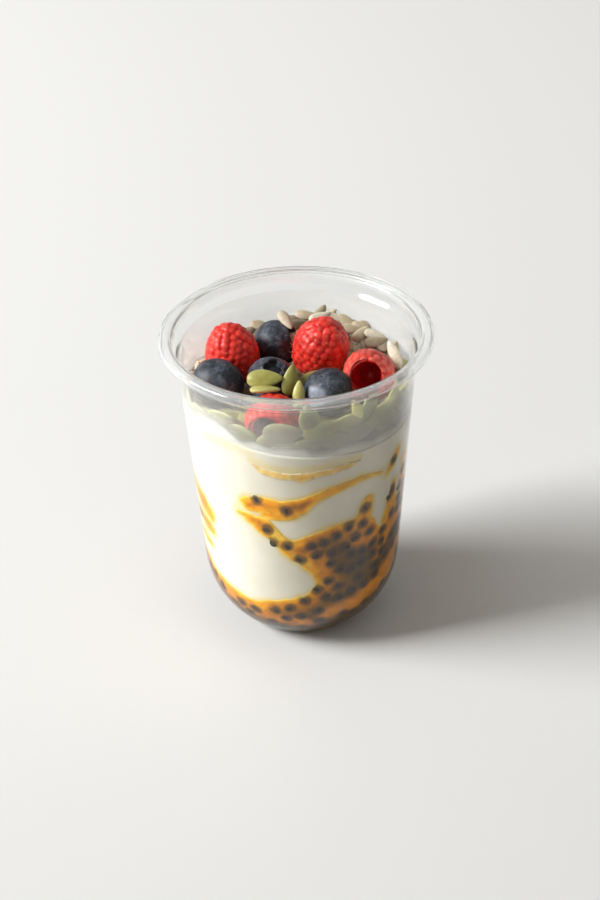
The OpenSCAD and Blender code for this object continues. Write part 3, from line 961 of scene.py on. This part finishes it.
def drupelet_places(outer, random):
    """Middles of the drupelets on the outline's surface, in staggered rows."""
    steps = np.hypot(*np.diff(outer, axis=0).T)
    along = np.r_[0.0, np.cumsum(steps)]
    places = []
    for row, at in enumerate(np.arange(0.4, along[-1], DRUPELET_SPACE * 0.88)):
        r = np.interp(at, along, outer[:, 0])
        z = np.interp(at, along, outer[:, 1])
        count = max(1, round(2 * math.pi * r / DRUPELET_SPACE))
        for k in range(count):
            a = 2 * math.pi * (k + 0.5 * (row % 2) + random.uniform(-0.12, 0.12)) / count
            jitter = random.uniform(-0.25, 0.25)
            places.append((r * math.cos(a), r * math.sin(a), z + jitter))
    return np.array(places)


def raspberry_form(diameter, length, hollow_r, seed):
    random = np.random.default_rng(seed)
    line, outer_rows = raspberry_outline(diameter, length, hollow_r)
    a = np.linspace(0, 2 * math.pi, RASPBERRY_COLUMNS, endpoint=False)
    points = np.stack(
        [line[:, :1] * np.cos(a), line[:, :1] * np.sin(a), np.repeat(line[:, 1:], len(a), axis=1)],
        axis=-1,
    )
    slope = np.gradient(line, axis=0)
    slope = slope / np.maximum(np.hypot(slope[:, 0], slope[:, 1]), 1e-6)[:, None]
    out_r, out_z = -slope[:, 1:2], slope[:, 0:1]
    normal = np.stack(
        [out_r * np.cos(a), out_r * np.sin(a), np.repeat(out_z, len(a), axis=1)], axis=-1
    )
    places = drupelet_places(line[:outer_rows], random)
    gap = np.linalg.norm(points[:, :, None, :] - places[None, None, :, :], axis=-1)
    dome = np.sqrt(np.clip(1.0 - (gap.min(axis=2) / DRUPELET_R) ** 2, 0.0, 1.0))
    tone = random.uniform(0, 1, len(places))[gap.argmin(axis=2)]
    fade = np.ones(len(line))
    fade[outer_rows:] = np.clip(1.0 - np.arange(1, len(line) - outer_rows + 1) / 4.0, 0.0, 1.0)
    rise = (dome * DRUPELET_RISE) * fade[:, None]
    wave = cloud(points, 4.5, seed) * 0.45 + cloud(points, 1.3, seed + 1) * 0.12
    points = points + normal * (rise + wave)[..., None]
    tip, end = points[0].mean(axis=0), points[-1].mean(axis=0)
    flat, faces = closed_rings(points, tip, end, inside_out=True)
    top = np.r_[(dome * fade[:, None]).reshape(-1), 1.0, 0.0]
    tones = np.r_[tone.reshape(-1), 0.5, 0.5]
    return flat, faces, top, tones, places


print("a raspberry has about", len(raspberry_form(19, 19, 4, 1)[4]), "drupelets")

# %% [markdown]
# The drupelets are clear skin over juice. Their colour is painted by height on the drupelet: a
# painted highlight, bright orange-red, on their tops, and painted shade, deep crimson, in the seams.
# A value at each point gives its height on its drupelet for this, and another gives each drupelet a
# tone of its own. The picked-open berry at the right is paler and pinker.

# %% Raspberries
def raspberry_finish(name, seam, middle, top):
    finish, tree, shader = new_finish(name)
    # Painted light: the ramp over the drupelet's height paints shade in the seams and a highlight on the
    # tops.
    red = colour_ramp(tree, [(0.0, seam), (0.55, middle), (1.0, top)], point_value(tree, "dome"))
    shade = colour_ramp(
        tree, [(0.0, (0.62, 0.45, 0.45)), (1.0, (1.0, 1.0, 1.0))], point_value(tree, "tone")
    )
    colour = blend_colours(tree, 1.0, red, shade, "MULTIPLY")
    set_surface(shader, colour, roughness=0.36, specular=0.4, scatter=(0.25, (1.0, 0.12, 0.1), 0.0025))
    add_bump(tree, shader, noise_value(tree, 1100.0), 0.35, 0.0004)
    return finish


# Seam, middle and top colours: the seam colour is painted shade, the top colour a painted highlight.
DEEP_RED = raspberry_finish("raspberry", (0.42, 0.0, 0.006), (0.86, 0.010, 0.014), (0.96, 0.08, 0.05))
PALE_RED = raspberry_finish(
    "raspberry_pale", (0.56, 0.010, 0.010), (0.84, 0.045, 0.035), (0.93, 0.17, 0.12)
)
FRONT_SQUASH = 0.86
RASPBERRIES = [
    ("raspberry_left", DEEP_RED, 22.0, 3.9, 21),
    ("raspberry_middle", DEEP_RED, 21.6, 3.9, 22),
    ("raspberry_right", PALE_RED, 18.2, 5.2, 23),
    ("raspberry_front", DEEP_RED, 18.2, 4.7, 24),
]


def make_raspberry(name, finish, length, hollow_r, seed):
    middle, tilt = berry_place(name)
    points, faces, top, tone, drupelets = raspberry_form(BERRIES[name][3], length, hollow_r, seed)
    squash = np.array([1.0, 1.0, FRONT_SQUASH if name == "raspberry_front" else 1.0])
    placed = points @ tilt.T * squash + middle
    piece = make_piece(name + "_berry", placed, faces, finish, [name])
    add_values(piece, "dome", top)
    add_values(piece, "tone", tone)
    return drupelets @ tilt.T * squash + middle, middle


drupelet_tops = [make_raspberry(*row) for row in RASPBERRIES]

# %% [markdown]
# Most drupelets keep a fine dry hair, the style of the flower. From a distance they blur the berry's
# edge. Each one here is a thin bent blade, far too thin for a tube to be worth its faces.

# %% Raspberry hairs
def raspberry_hairs():
    random = np.random.default_rng(31)
    points, faces = [], []
    for places, middle in drupelet_tops:
        for place in places:
            if random.uniform() < 0.35:
                continue
            out = (place - middle) / np.linalg.norm(place - middle)
            bend = random.normal(size=3)
            bend = bend - out * bend.dot(out)
            bend = bend / np.linalg.norm(bend)
            side = np.cross(out, bend) * 0.045
            length = random.uniform(1.0, 2.1)
            root = place + out * (DRUPELET_RISE * 0.9)
            knee = root + out * length * 0.5 + bend * length * 0.15
            end = root + out * length * 0.7 + bend * length * 0.65
            first = len(points)
            points += [root - side, root + side, knee + side, knee - side, end]
            faces += [(first, first + 1, first + 2, first + 3), (first + 3, first + 2, first + 4)]
    finish, tree, shader = new_finish("raspberry_hair")
    tan = colour_ramp(tree, [(0.3, (0.55, 0.25, 0.14)), (0.7, (0.75, 0.5, 0.3))], noise_value(tree, 200.0))
    set_surface(shader, tan, roughness=0.5)
    return make_piece("raspberry_hairs", np.array(points), faces, finish)


raspberry_hairs()

# %% [markdown]
# A blueberry is a slightly flattened ball with a crown: a ragged five-pointed rim round a dish. Its
# skin is nearly black, under a waxy blue-grey bloom that is rubbed off in patches. The front berry
# has a pale patch on its lit side, partly thick bloom and partly a painted highlight of the lamp.

# %% Blueberries
BLUEBERRY_COLUMNS = 90
CROWN_R = 0.205
# The side that faces the lamp, where the front berry's pale patch of bloom and painted highlight sits.
PATCH_AND_HIGHLIGHT_SIDE = np.array([-0.45, -0.80, 0.38])


def blueberry_form(diameter, seed):
    a = np.linspace(0, 2 * math.pi, BLUEBERRY_COLUMNS, endpoint=False)
    fall = np.radians(np.r_[np.linspace(0.6, 40, 42), np.linspace(43, 179, 46)])[:, None]
    wave = 1.0 + 0.02 * np.cos(2 * a + seed) + 0.012 * np.cos(3 * a + 2.0 * seed)
    r = diameter / 2.0 * np.sin(fall) * wave
    z = 0.9 * diameter / 2.0 * np.cos(fall) + 0 * a
    ragged = 1.0 + 0.17 * np.abs(np.cos(2.5 * a + seed)) + 0.05 * np.cos(7 * a)
    share = np.where(z > 0, r / (CROWN_R * diameter * ragged), 9.0)
    dish = -1.5 * (1.0 - smoothstep(0.62, 0.9, share))
    edge = 0.75 * smoothstep(0.7, 0.98, share) * (1.0 - smoothstep(1.0, 1.35, share))
    z = z + dish + edge * (0.55 + 0.45 * np.abs(np.cos(2.5 * a + seed)))
    points = np.stack([r * np.cos(a), r * np.sin(a), z], axis=-1)
    flat, faces = closed_rings(points, [0, 0, z[0].mean()], [0, 0, z[-1].mean()], inside_out=True)
    crown = np.r_[(smoothstep(1.3, 0.9, share)).reshape(-1), 1.0, 0.0]
    return flat, faces, crown


def blueberry_finish():
    finish, tree, shader = new_finish("blueberry")
    speckle = noise_value(tree, 700.0, 4.0, 0.7)
    skin = colour_ramp(
        tree, [(0.30, (0.006, 0.007, 0.011)), (0.75, (0.020, 0.024, 0.034))], speckle
    )
    bloom = colour_ramp(
        tree, [(0.35, (0.024, 0.030, 0.044)), (0.7, (0.13, 0.15, 0.19))], speckle
    )
    colour = blend_colours(tree, point_value(tree, "bloom"), skin, bloom)
    # The pale patch colour: partly thick bloom, partly a painted highlight.
    colour = blend_colours(tree, point_value(tree, "bloom_and_highlight_patch"), colour, (0.50, 0.55, 0.66))
    set_surface(shader, colour, roughness=0.5)
    add_bump(tree, shader, speckle, 0.12, 0.0003)
    return finish


blue_skin = blueberry_finish()


def make_blueberry(name, seed, bloom_and_highlight_patch):
    middle, tilt = berry_place(name)
    form, faces, crown = blueberry_form(BERRIES[name][3], seed)
    points = form @ tilt.T + middle
    piece = make_piece(name + "_berry", points, faces, blue_skin, [name])
    out = (points - middle) / np.linalg.norm(points - middle, axis=1)[:, None]
    bloom = smoothstep(-0.3, 0.4, cloud(points, 4.5, 60 + seed) + 0.6 * cloud(points, 1.6, 70 + seed))
    bloom = np.clip(0.2 + 0.7 * bloom - 0.55 * crown, 0.0, 1.0)
    facing = out @ (PATCH_AND_HIGHLIGHT_SIDE / np.linalg.norm(PATCH_AND_HIGHLIGHT_SIDE)) + 0.08 * cloud(points, 2.2, 80)
    add_values(piece, "bloom", bloom)
    # Painted highlight: the pale patch is put on the side facing the lamp, mixed with real bloom.
    add_values(piece, "bloom_and_highlight_patch", bloom_and_highlight_patch * smoothstep(0.88, 1.0, facing + 0.05 * cloud(points, 1.0, 81)))


for seed, (name, bloom_and_highlight_patch) in enumerate(
    [("blueberry_left", 0.0), ("blueberry_back", 0.0), ("blueberry_middle", 0.0), ("blueberry_front", 0.5)]
):
    make_blueberry(name, seed + 1, bloom_and_highlight_patch)

# %% [markdown]
# ## Seeds
# Pumpkin kernels are flat green ovals with a point at one end. Sunflower kernels are small grey and
# cream drops. The ones that show are put where they lie on the real pot, against the wall or on a
# berry. The others are dropped at random on the heap, and those that would cut a berry are left out.

# %% Kernel forms and finishes
HEAP_LEVEL = 88.0
HEAP_R = 37.6


def kernel_form(length, width, thickness, point, bend):
    """A plump flat kernel with a point at its far end. Returns points, faces and edge values."""
    x, y, girth, a = oval_rings(length, width, 14, 14, 0.8, point, 2.0)
    z = girth**0.7 * np.sin(a) * np.abs(np.sin(a)) ** 0.25 * thickness / 2.0
    z = z + bend * (x / length) ** 2
    edge = np.repeat(np.abs(np.cos(a))[None, :] ** 3, len(x), axis=0)
    rings = np.stack([x, y, z], axis=-1)
    low, high = [-length / 2.0, 0, bend / 4.0], [length / 2.0, 0, bend / 4.0]
    points, faces = closed_rings(rings, low, high, inside_out=True)
    return points, faces, np.r_[edge.reshape(-1), 1.0, 1.0]


def kernel_finish(name, tones, edge_colour, edge_share, roughness):
    finish, tree, shader = new_finish(name)
    body = colour_ramp(tree, tones, point_value(tree, "tone"))
    mottle = colour_ramp(
        tree, [(0.3, (0.78, 0.76, 0.72)), (0.7, (1.0, 1.0, 1.0))], noise_value(tree, 420.0, 5.0, 0.6)
    )
    colour = blend_colours(tree, 1.0, body, mottle, "MULTIPLY")
    edge = tree.nodes.new("ShaderNodeMath")
    edge.operation = "MULTIPLY"
    edge.inputs[1].default_value = edge_share
    tree.links.new(point_value(tree, "edge"), edge.inputs[0])
    colour = blend_colours(tree, edge.outputs[0], colour, edge_colour)
    set_surface(shader, colour, roughness=roughness)
    add_bump(tree, shader, noise_value(tree, 600.0), 0.2, 0.0003)
    return finish


PUMPKIN_TONES = [
    (0.0, (0.33, 0.29, 0.20)), (0.3, (0.20, 0.20, 0.08)), (0.65, (0.36, 0.34, 0.075)),
    (1.0, (0.66, 0.60, 0.20)),
]
SUNFLOWER_TONES = [
    (0.0, (0.17, 0.135, 0.09)), (0.35, (0.34, 0.27, 0.175)), (0.7, (0.58, 0.48, 0.32)),
    (1.0, (0.88, 0.81, 0.66)),
]
pumpkin_finish = kernel_finish("pumpkin_kernel", PUMPKIN_TONES, (0.60, 0.60, 0.26), 0.45, 0.38)
sunflower_finish = kernel_finish("sunflower_kernel", SUNFLOWER_TONES, (0.72, 0.64, 0.52), 0.35, 0.55)
print("kernel finishes are ready")

# %% [markdown]
# A kernel against the wall is given by an angle, a height, its turn on the wall, its length, width
# and tone. A kernel in the open is given by its middle, the way it points, the way it faces, and the
# same sizes.

# %% Placed kernels
WALL_PUMPKIN = [
    (-42, 98.5, 20, 12.5, 7.2, 0.40), (-30, 95.5, 160, 12, 7, 0.30), (-8, 98.0, 10, 13.5, 9.0, 0.0),
    (-17, 93.6, 55, 12, 6.5, 0.12), (-6, 91.8, 175, 12.5, 6.5, 0.15), (12, 98.8, 14, 14, 8.4, 0.55),
    (25, 99.6, 172, 13, 7.6, 0.45), (5, 104.6, 95, 12, 7.2, 0.35), (37, 103.2, 70, 11.5, 7.6, 0.40),
    (30, 103.8, 110, 10, 4.6, 0.95), (44, 98.4, 25, 13, 7.2, 0.55), (34, 94.6, 8, 13, 7, 0.30),
    (55, 101.5, 75, 12, 6.8, 0.60), (62, 97.5, 130, 12.5, 7.2, 0.35), (18, 93.6, 165, 13, 7, 0.25),
    (5, 93.2, 20, 12, 6.8, 0.20), (50, 93.4, 170, 12.5, 7, 0.25), (70, 93.5, 15, 12, 7, 0.3),
    (-48, 96.4, 150, 11, 6.6, 0.35), (-62, 94.5, 20, 12, 7, 0.4), (-78, 93.2, 160, 12, 7, 0.3),
]
OPEN_PUMPKIN = [
    ((-11.1, -15.6, 105.6), (1.0, -0.05, 0.05), (-0.08, -0.72, 0.70), 12.4, 6.6, 0.70),
    ((-2.2, -14.8, 104.2), (0.16, 0.45, 0.88), (0.35, -0.86, 0.36), 10.8, 6.4, 0.60),
    ((-11.0, -20.4, 104.4), (1.0, -0.05, 0.06), (0.0, 0.30, 0.95), 10.5, 6.0, 0.80),
    ((0.4, -20.2, 102.8), (0.1, 0.5, 0.86), (0.3, -0.8, 0.5), 7.8, 4.4, 1.0),
    ((4.5, -5.5, 98.0), (0.7, 0.6, 0.3), (0.2, -0.5, 0.85), 12.5, 7.0, 0.5),
    ((-7.0, 6.0, 97.0), (0.9, -0.3, 0.2), (0.1, -0.4, 0.9), 12.5, 7.0, 0.45),
]
OPEN_SUNFLOWER = [
    ((-17.5, 26.6, 99.5), (0.7, 0.5, 0.1), 0.25), ((-12.2, 29.1, 100.5), (0.9, -0.3, 0.2), 0.55),
    ((-3.6, 24.6, 105.2), (0.35, -0.55, -0.76), 0.80), ((-1.7, 33.5, 100.1), (0.9, 0.2, 0.1), 0.30),
    ((0.4, 29.1, 100.8), (0.9, 0.35, 0.0), 0.20), ((4.1, 33.5, 101.8), (0.95, -0.2, 0.1), 0.75),
    ((8.8, 36, 101.1), (0.4, 0.7, 0.3), 0.45), ((8.7, 30.3, 102.8), (0.8, 0.4, 0.1), 0.9),
    ((13.8, 31.5, 101.6), (0.9, -0.3, -0.1), 0.85), ((18.4, 30.5, 100.6), (0.8, -0.5, -0.1), 0.7),
    ((19.9, 24.2, 101.0), (0.9, -0.1, 0.0), 0.6), ((24, 26, 100.1), (0.85, -0.5, -0.1), 0.65),
    ((23, 20.4, 101.2), (0.6, 0.7, 0.2), 0.75), ((28.3, 18.8, 101.2), (0.9, -0.4, 0.0), 0.9),
    ((28.1, 13.6, 101.8), (0.95, 0.25, 0.1), 0.5), ((33.8, 9.4, 100.4), (-0.2, 0.55, 0.8), 1.0),
    ((35.2, 4.4, 99.8), (-0.1, 0.9, 0.4), 0.85), ((0.8, 23, 99.0), (0.95, 0.1, -0.1), 0.8),
    ((2.4, 19.8, 98.4), (0.5, 0.2, -0.8), 0.9), ((12.2, 24.2, 101.0), (0.8, 0.5, 0.0), 0.35),
]


def wall_kernel(angle, height, turn, length, width, tone):
    """A kernel that lies flat against the wall: its middle, its axes and its form."""
    thickness = 2.4
    centre = wall_point(angle, height, thickness * 0.5 + 0.35)
    a = math.radians(angle)
    out = np.array([math.sin(a), -math.cos(a), -0.08])
    level = np.array([math.cos(a), math.sin(a), 0.0])
    t = math.radians(turn)
    forward = level * math.cos(t) + np.array([0, 0, 1.0]) * math.sin(t)
    return centre, basis(forward, out), (length, width, thickness, 0.55, -1.2), tone


print(len(WALL_PUMPKIN) + len(OPEN_PUMPKIN), "pumpkin kernels are placed by hand")

# %% [markdown]
# Dropping rigid bodies would also give a heap, but a slow one that is hard to steer. Here each kernel
# gets a random place on the heap's surface, in two layers, with a random turn and tilt. One that
# would reach a berry or the wall, or lie too near another, is left out.

# %% The heap
LAYER_DEPTHS = (1.2, 3.6)
KERNEL_SIDE = 0.6
HEAP_RISE = 4.8
BANK_RISE = 6.5
BANK_SIDE = 75
BANK_FROM = 30
BACK_RISE = 4.6
BACK_HEAP = (10, 29)


def heap_top(x, y):
    """Height of the seeds over a place in the cup."""
    r = np.hypot(x, y)
    angle = np.degrees(np.arctan2(x, -y))
    bank = 0.65 + 0.35 * np.cos(np.radians(angle - BANK_SIDE))
    back = np.exp(-((x - BACK_HEAP[0]) ** 2 + (y - BACK_HEAP[1]) ** 2) / 180.0)
    return HEAP_LEVEL + HEAP_RISE + BANK_RISE * bank * smoothstep(28, 39, r) + BACK_RISE * back


def clear_of_berries(points, room):
    gap = np.linalg.norm(points[:, None, :] - berry_middles[None], axis=-1) - berry_radii
    return bool((gap > room).all())


def scatter_kernels(count, in_region, size, spacing, seed):
    """Kernels dropped on the heap, in layers, clear of the berries and of each other."""
    random = np.random.default_rng(seed)
    taken = []
    kernels = []
    for depth in LAYER_DEPTHS:
        for _ in range(count):
            r = HEAP_R * math.sqrt(random.uniform())
            a = random.uniform(0, 2 * math.pi)
            x, y = r * math.sin(a), -r * math.cos(a)
            if not in_region(x, y):
                continue
            length, width, thickness = size * random.uniform(0.88, 1.1)
            z = float(heap_top(x, y)) - depth + random.uniform(-0.4, 0.4)
            z = max(z, HEAP_LEVEL + LAYER_DEPTHS[0])
            centre = np.array([x, y, z])
            if taken and min(np.linalg.norm(centre - c) for c in taken) < spacing:
                continue
            heading = random.uniform(0, 2 * math.pi)
            lean = random.uniform(-0.35, 0.35, 2)
            inward = 0.5 / WALL_R * (r > BANK_FROM)
            up = np.array([lean[0] - inward * x, lean[1] - inward * y, 1.0])
            axes = basis([math.cos(heading), math.sin(heading), 0.0], up)
            along, across = axes[:, 0], axes[:, 1] * KERNEL_SIDE
            ends = centre + np.array([along, -along, across, -across]) * length / 2
            reach = np.hypot(ends[:, 0], ends[:, 1]) - (wall_radius(ends[:, 2]) - 0.5)
            if reach.max() > 0:
                continue
            if not clear_of_berries(np.vstack([ends, centre[None]]), 0.3):
                continue
            taken.append(centre)
            tone = random.uniform(0.15, 0.85)
            kernels.append((centre, axes, (length, width, thickness, 0.55, 0.4), tone))
    return kernels


def kernel_piece(name, kernels, finish, node):
    parts, tones, edges = [], [], []
    for centre, axes, sizes, tone in kernels:
        form, form_faces, edge = kernel_form(*sizes)
        parts.append((form @ axes.T + centre, form_faces))
        tones.append(np.full(len(form), tone))
        edges.append(edge)
    points, faces = gather(parts)
    piece = make_piece(name, points, faces, finish, [node])
    add_values(piece, "tone", np.concatenate(tones))
    add_values(piece, "edge", np.concatenate(edges))
    print(f"{name}: {len(kernels)} kernels")


def pumpkin_side(x, y):
    return -y + 0.35 * x > -1.0


PUMPKIN_SIZE = np.array([12.8, 7.2, 2.5])
SUNFLOWER_SIZE = np.array([8.8, 4.3, 2.5])
pumpkin = [wall_kernel(*row) for row in WALL_PUMPKIN]
pumpkin += [
    (np.array(c), basis(f, u), (length, width, 2.5, 0.55, -0.8), tone)
    for c, f, u, length, width, tone in OPEN_PUMPKIN
]
pumpkin += scatter_kernels(1500, pumpkin_side, PUMPKIN_SIZE, 4.6, 91)
sunflower = [
    (np.array(c), basis(f, (0.1, -0.35, 0.9)), (*SUNFLOWER_SIZE, 0.6, 0.3), tone)
    for c, f, tone in OPEN_SUNFLOWER
]
sunflower += scatter_kernels(2600, lambda x, y: not pumpkin_side(x, y), SUNFLOWER_SIZE, 3.1, 92)
kernel_piece("pumpkin_kernels", pumpkin, pumpkin_finish, "pumpkin_seeds")
kernel_piece("sunflower_kernels", sunflower, sunflower_finish, "sunflower_seeds")

# %% [markdown]
# Under the kernels that show lies the rest of each heap. A low core stands for it, pressed down
# where the berries sit, so that no white yogurt shines through between the kernels. Its dark brown,
# far darker than the kernels, is painted shade for the deep gaps between them.

# %% Heap core
CORE_BELOW = 3.4
CORE_LOWEST = HEAP_LEVEL - 0.4
CORE_FOOT = HEAP_LEVEL - 1.6
ROOM_UNDER_BERRY = 0.6


def seed_core():
    columns, rows = 120, 26
    r = np.linspace(0.6, HEAP_R, rows)[:, None]
    a = np.linspace(0, 2 * math.pi, columns, endpoint=False)
    x, y = r * np.sin(a), -r * np.cos(a)
    z = heap_top(x, y) - CORE_BELOW + 0.6 * cloud(np.stack([x, y, 0 * x], axis=-1), 3.0, 95)
    place = np.stack([x, y], axis=-1)
    for middle, reach in zip(berry_middles, berry_radii + ROOM_UNDER_BERRY):
        flat_gap = np.linalg.norm(place - middle[:2], axis=-1)
        under = middle[2] - np.sqrt(np.maximum(reach**2 - flat_gap**2, 0.0))
        z = np.where(flat_gap < reach, np.minimum(z, under), z)
    z = np.maximum(z, CORE_LOWEST)
    top = np.stack([x, y, z], axis=-1)
    foot = np.stack([x[-1], y[-1], np.full(columns, CORE_FOOT)], axis=-1)[None]
    centre, base = [0, 0, z[0].mean()], [0, 0, CORE_FOOT]
    flat, faces = closed_rings(np.vstack([top, foot]), centre, base, inside_out=True)
    finish, tree, shader = new_finish("seed_core")
    # Painted shade: the core is much darker than any kernel, as the deep gaps of the heap are in shade.
    brown = colour_ramp(
        tree, [(0.35, (0.035, 0.03, 0.02)), (0.65, (0.13, 0.105, 0.065))], noise_value(tree, 220.0)
    )
    set_surface(shader, brown, roughness=0.7)
    return make_piece(
        "seed_core", flat, faces, finish, ["sunflower_seeds", "pumpkin_seeds"]
    )


seed_core()

# %% [markdown]
# Above the yogurt the wall is smeared with a thin film of it, thickest at the yogurt's edge and on
# the left. The film is a very thin shell just inside the wall, with a veil that is strongest at the
# yogurt's edge and fades out under the rim. Its faint veil all round is a painted reflection of the
# pale room on the plastic. Seen through the film, the kernels and berries at the front turn pale.

# %% Film on the wall
FILM_LOW = 86.6
FILM_TOP = 108.4
FILM_FACES = (-0.02, 0.06)


def wall_film():
    columns = 180
    z = np.linspace(FILM_LOW, FILM_TOP, 34)[:, None]
    a = np.linspace(0, 2 * math.pi, columns, endpoint=False)
    rings = []
    for depth in FILM_FACES:
        r = np.where(z > STEP_LOW[1], STEP_LOW[0] - WALL / math.cos(DRAFT), wall_radius(z)) - depth
        rings.append(np.stack([r * np.sin(a), -r * np.cos(a), z + 0 * a], axis=-1))
    points = np.vstack([rings[0], rings[1][::-1]])
    rows = len(points)
    faces = grid_faces(rows, columns)
    last = (rows - 1) * columns
    faces += [(last + j, last + (j + 1) % columns, (j + 1) % columns, j) for j in range(columns)]
    finish, tree, shader = new_finish("smear_and_reflection_film")
    pale = colour_ramp(tree, [(0.3, (0.84, 0.82, 0.76)), (0.7, (0.90, 0.88, 0.82))], noise_value(tree, 50.0))
    tree.links.new(point_value(tree, "veil"), shader.inputs["Alpha"])
    set_surface(shader, pale, roughness=0.6)
    flat = points.reshape(-1, 3)
    piece = make_piece("smear_and_reflection_film", flat, faces, finish)
    fade = 1.0 - smoothstep(88.0, 108.0, flat[:, 2])
    angle = np.degrees(np.arctan2(flat[:, 0], -flat[:, 1]))
    above = flat[:, 2] - curve_through(YOGURT_EDGE, angle) + 1.2 * cloud(flat, 5.0, 98)
    # Painted reflection: this faint veil all round, fading towards the rim, stands for the pale room
    # mirrored in the wall. The veil added below is the yogurt's own film at its edge and its smear on the
    # left.
    veil = 0.08 + 0.15 * fade + 0.09 * cloud(flat, 6.0, 97) * fade
    veil = veil + 0.55 * (1.0 - smoothstep(0.6, 3.6, above))
    smeared = smoothstep(-28, -48, angle) * smoothstep(-130, -100, angle)
    veil = veil + 0.28 * smeared * (1.0 - smoothstep(2.0, 9.0, above))
    add_values(piece, "veil", np.clip(veil, 0.03, 0.92))


wall_film()

# %% [markdown]
# The cup stands on a pale table, lit as by a large window on the left. A broad lamp gives the
# shadow its soft edge, and the pale air around fills it. Table and lamp serve the picture, but are
# no part of the object.

# %% Staging and light
LAMP_PLACE = Vector((-2.65, -0.18, 2.05))
LAMP_AIM = Vector((-0.3, 0.55, 0.0))
LAMP_SIZE = (1.6, 1.2)
LAMP_POWER = 31.0
LAMP_SPREAD = math.radians(75)


def pale_floor():
    finish, tree, shader = new_finish("pale_table")
    shader.inputs["Base Color"].default_value = (0.80, 0.80, 0.79, 1.0)
    shader.inputs["Roughness"].default_value = 0.6
    mesh = bpy.data.meshes.new("table")
    half = 6.0
    corners = [(-half, -half, 0), (half, -half, 0), (half, half, 0), (-half, half, 0)]
    mesh.from_pydata(corners, [], [(0, 1, 2, 3)])
    mesh.materials.append(finish)
    floor = bpy.data.objects.new("table", mesh)
    scene.collection.objects.link(floor)


def window_lamp():
    lamp = bpy.data.lights.new("window", "AREA")
    lamp.shape = "RECTANGLE"
    lamp.size, lamp.size_y = LAMP_SIZE
    lamp.energy = LAMP_POWER
    lamp.color = (0.97, 0.985, 1.0)
    lamp.spread = LAMP_SPREAD
    holder = bpy.data.objects.new("window", lamp)
    holder.location = LAMP_PLACE
    aim = LAMP_AIM - LAMP_PLACE
    holder.rotation_euler = aim.to_track_quat("-Z", "Y").to_euler()
    scene.collection.objects.link(holder)


def pale_world(colour, overhead, level):
    """Pale air: brighter near the horizon, as the walls of a white room are."""
    world = bpy.data.worlds.new("studio")
    world.use_nodes = True
    tree = world.node_tree
    coords = tree.nodes.new("ShaderNodeTexCoord")
    split = tree.nodes.new("ShaderNodeSeparateXYZ")
    tree.links.new(coords.outputs["Generated"], split.inputs["Vector"])
    stops = [(0.0, tuple(c * level for c in colour)), (0.6, tuple(c * overhead for c in colour))]
    tree.links.new(colour_ramp(tree, stops, split.outputs["Z"]), tree.nodes["Background"].inputs["Color"])
    scene.world = world


pale_floor()
window_lamp()
pale_world((1.0, 0.94, 0.86), 0.27, 0.52)
scene.view_settings.view_transform = "Standard"
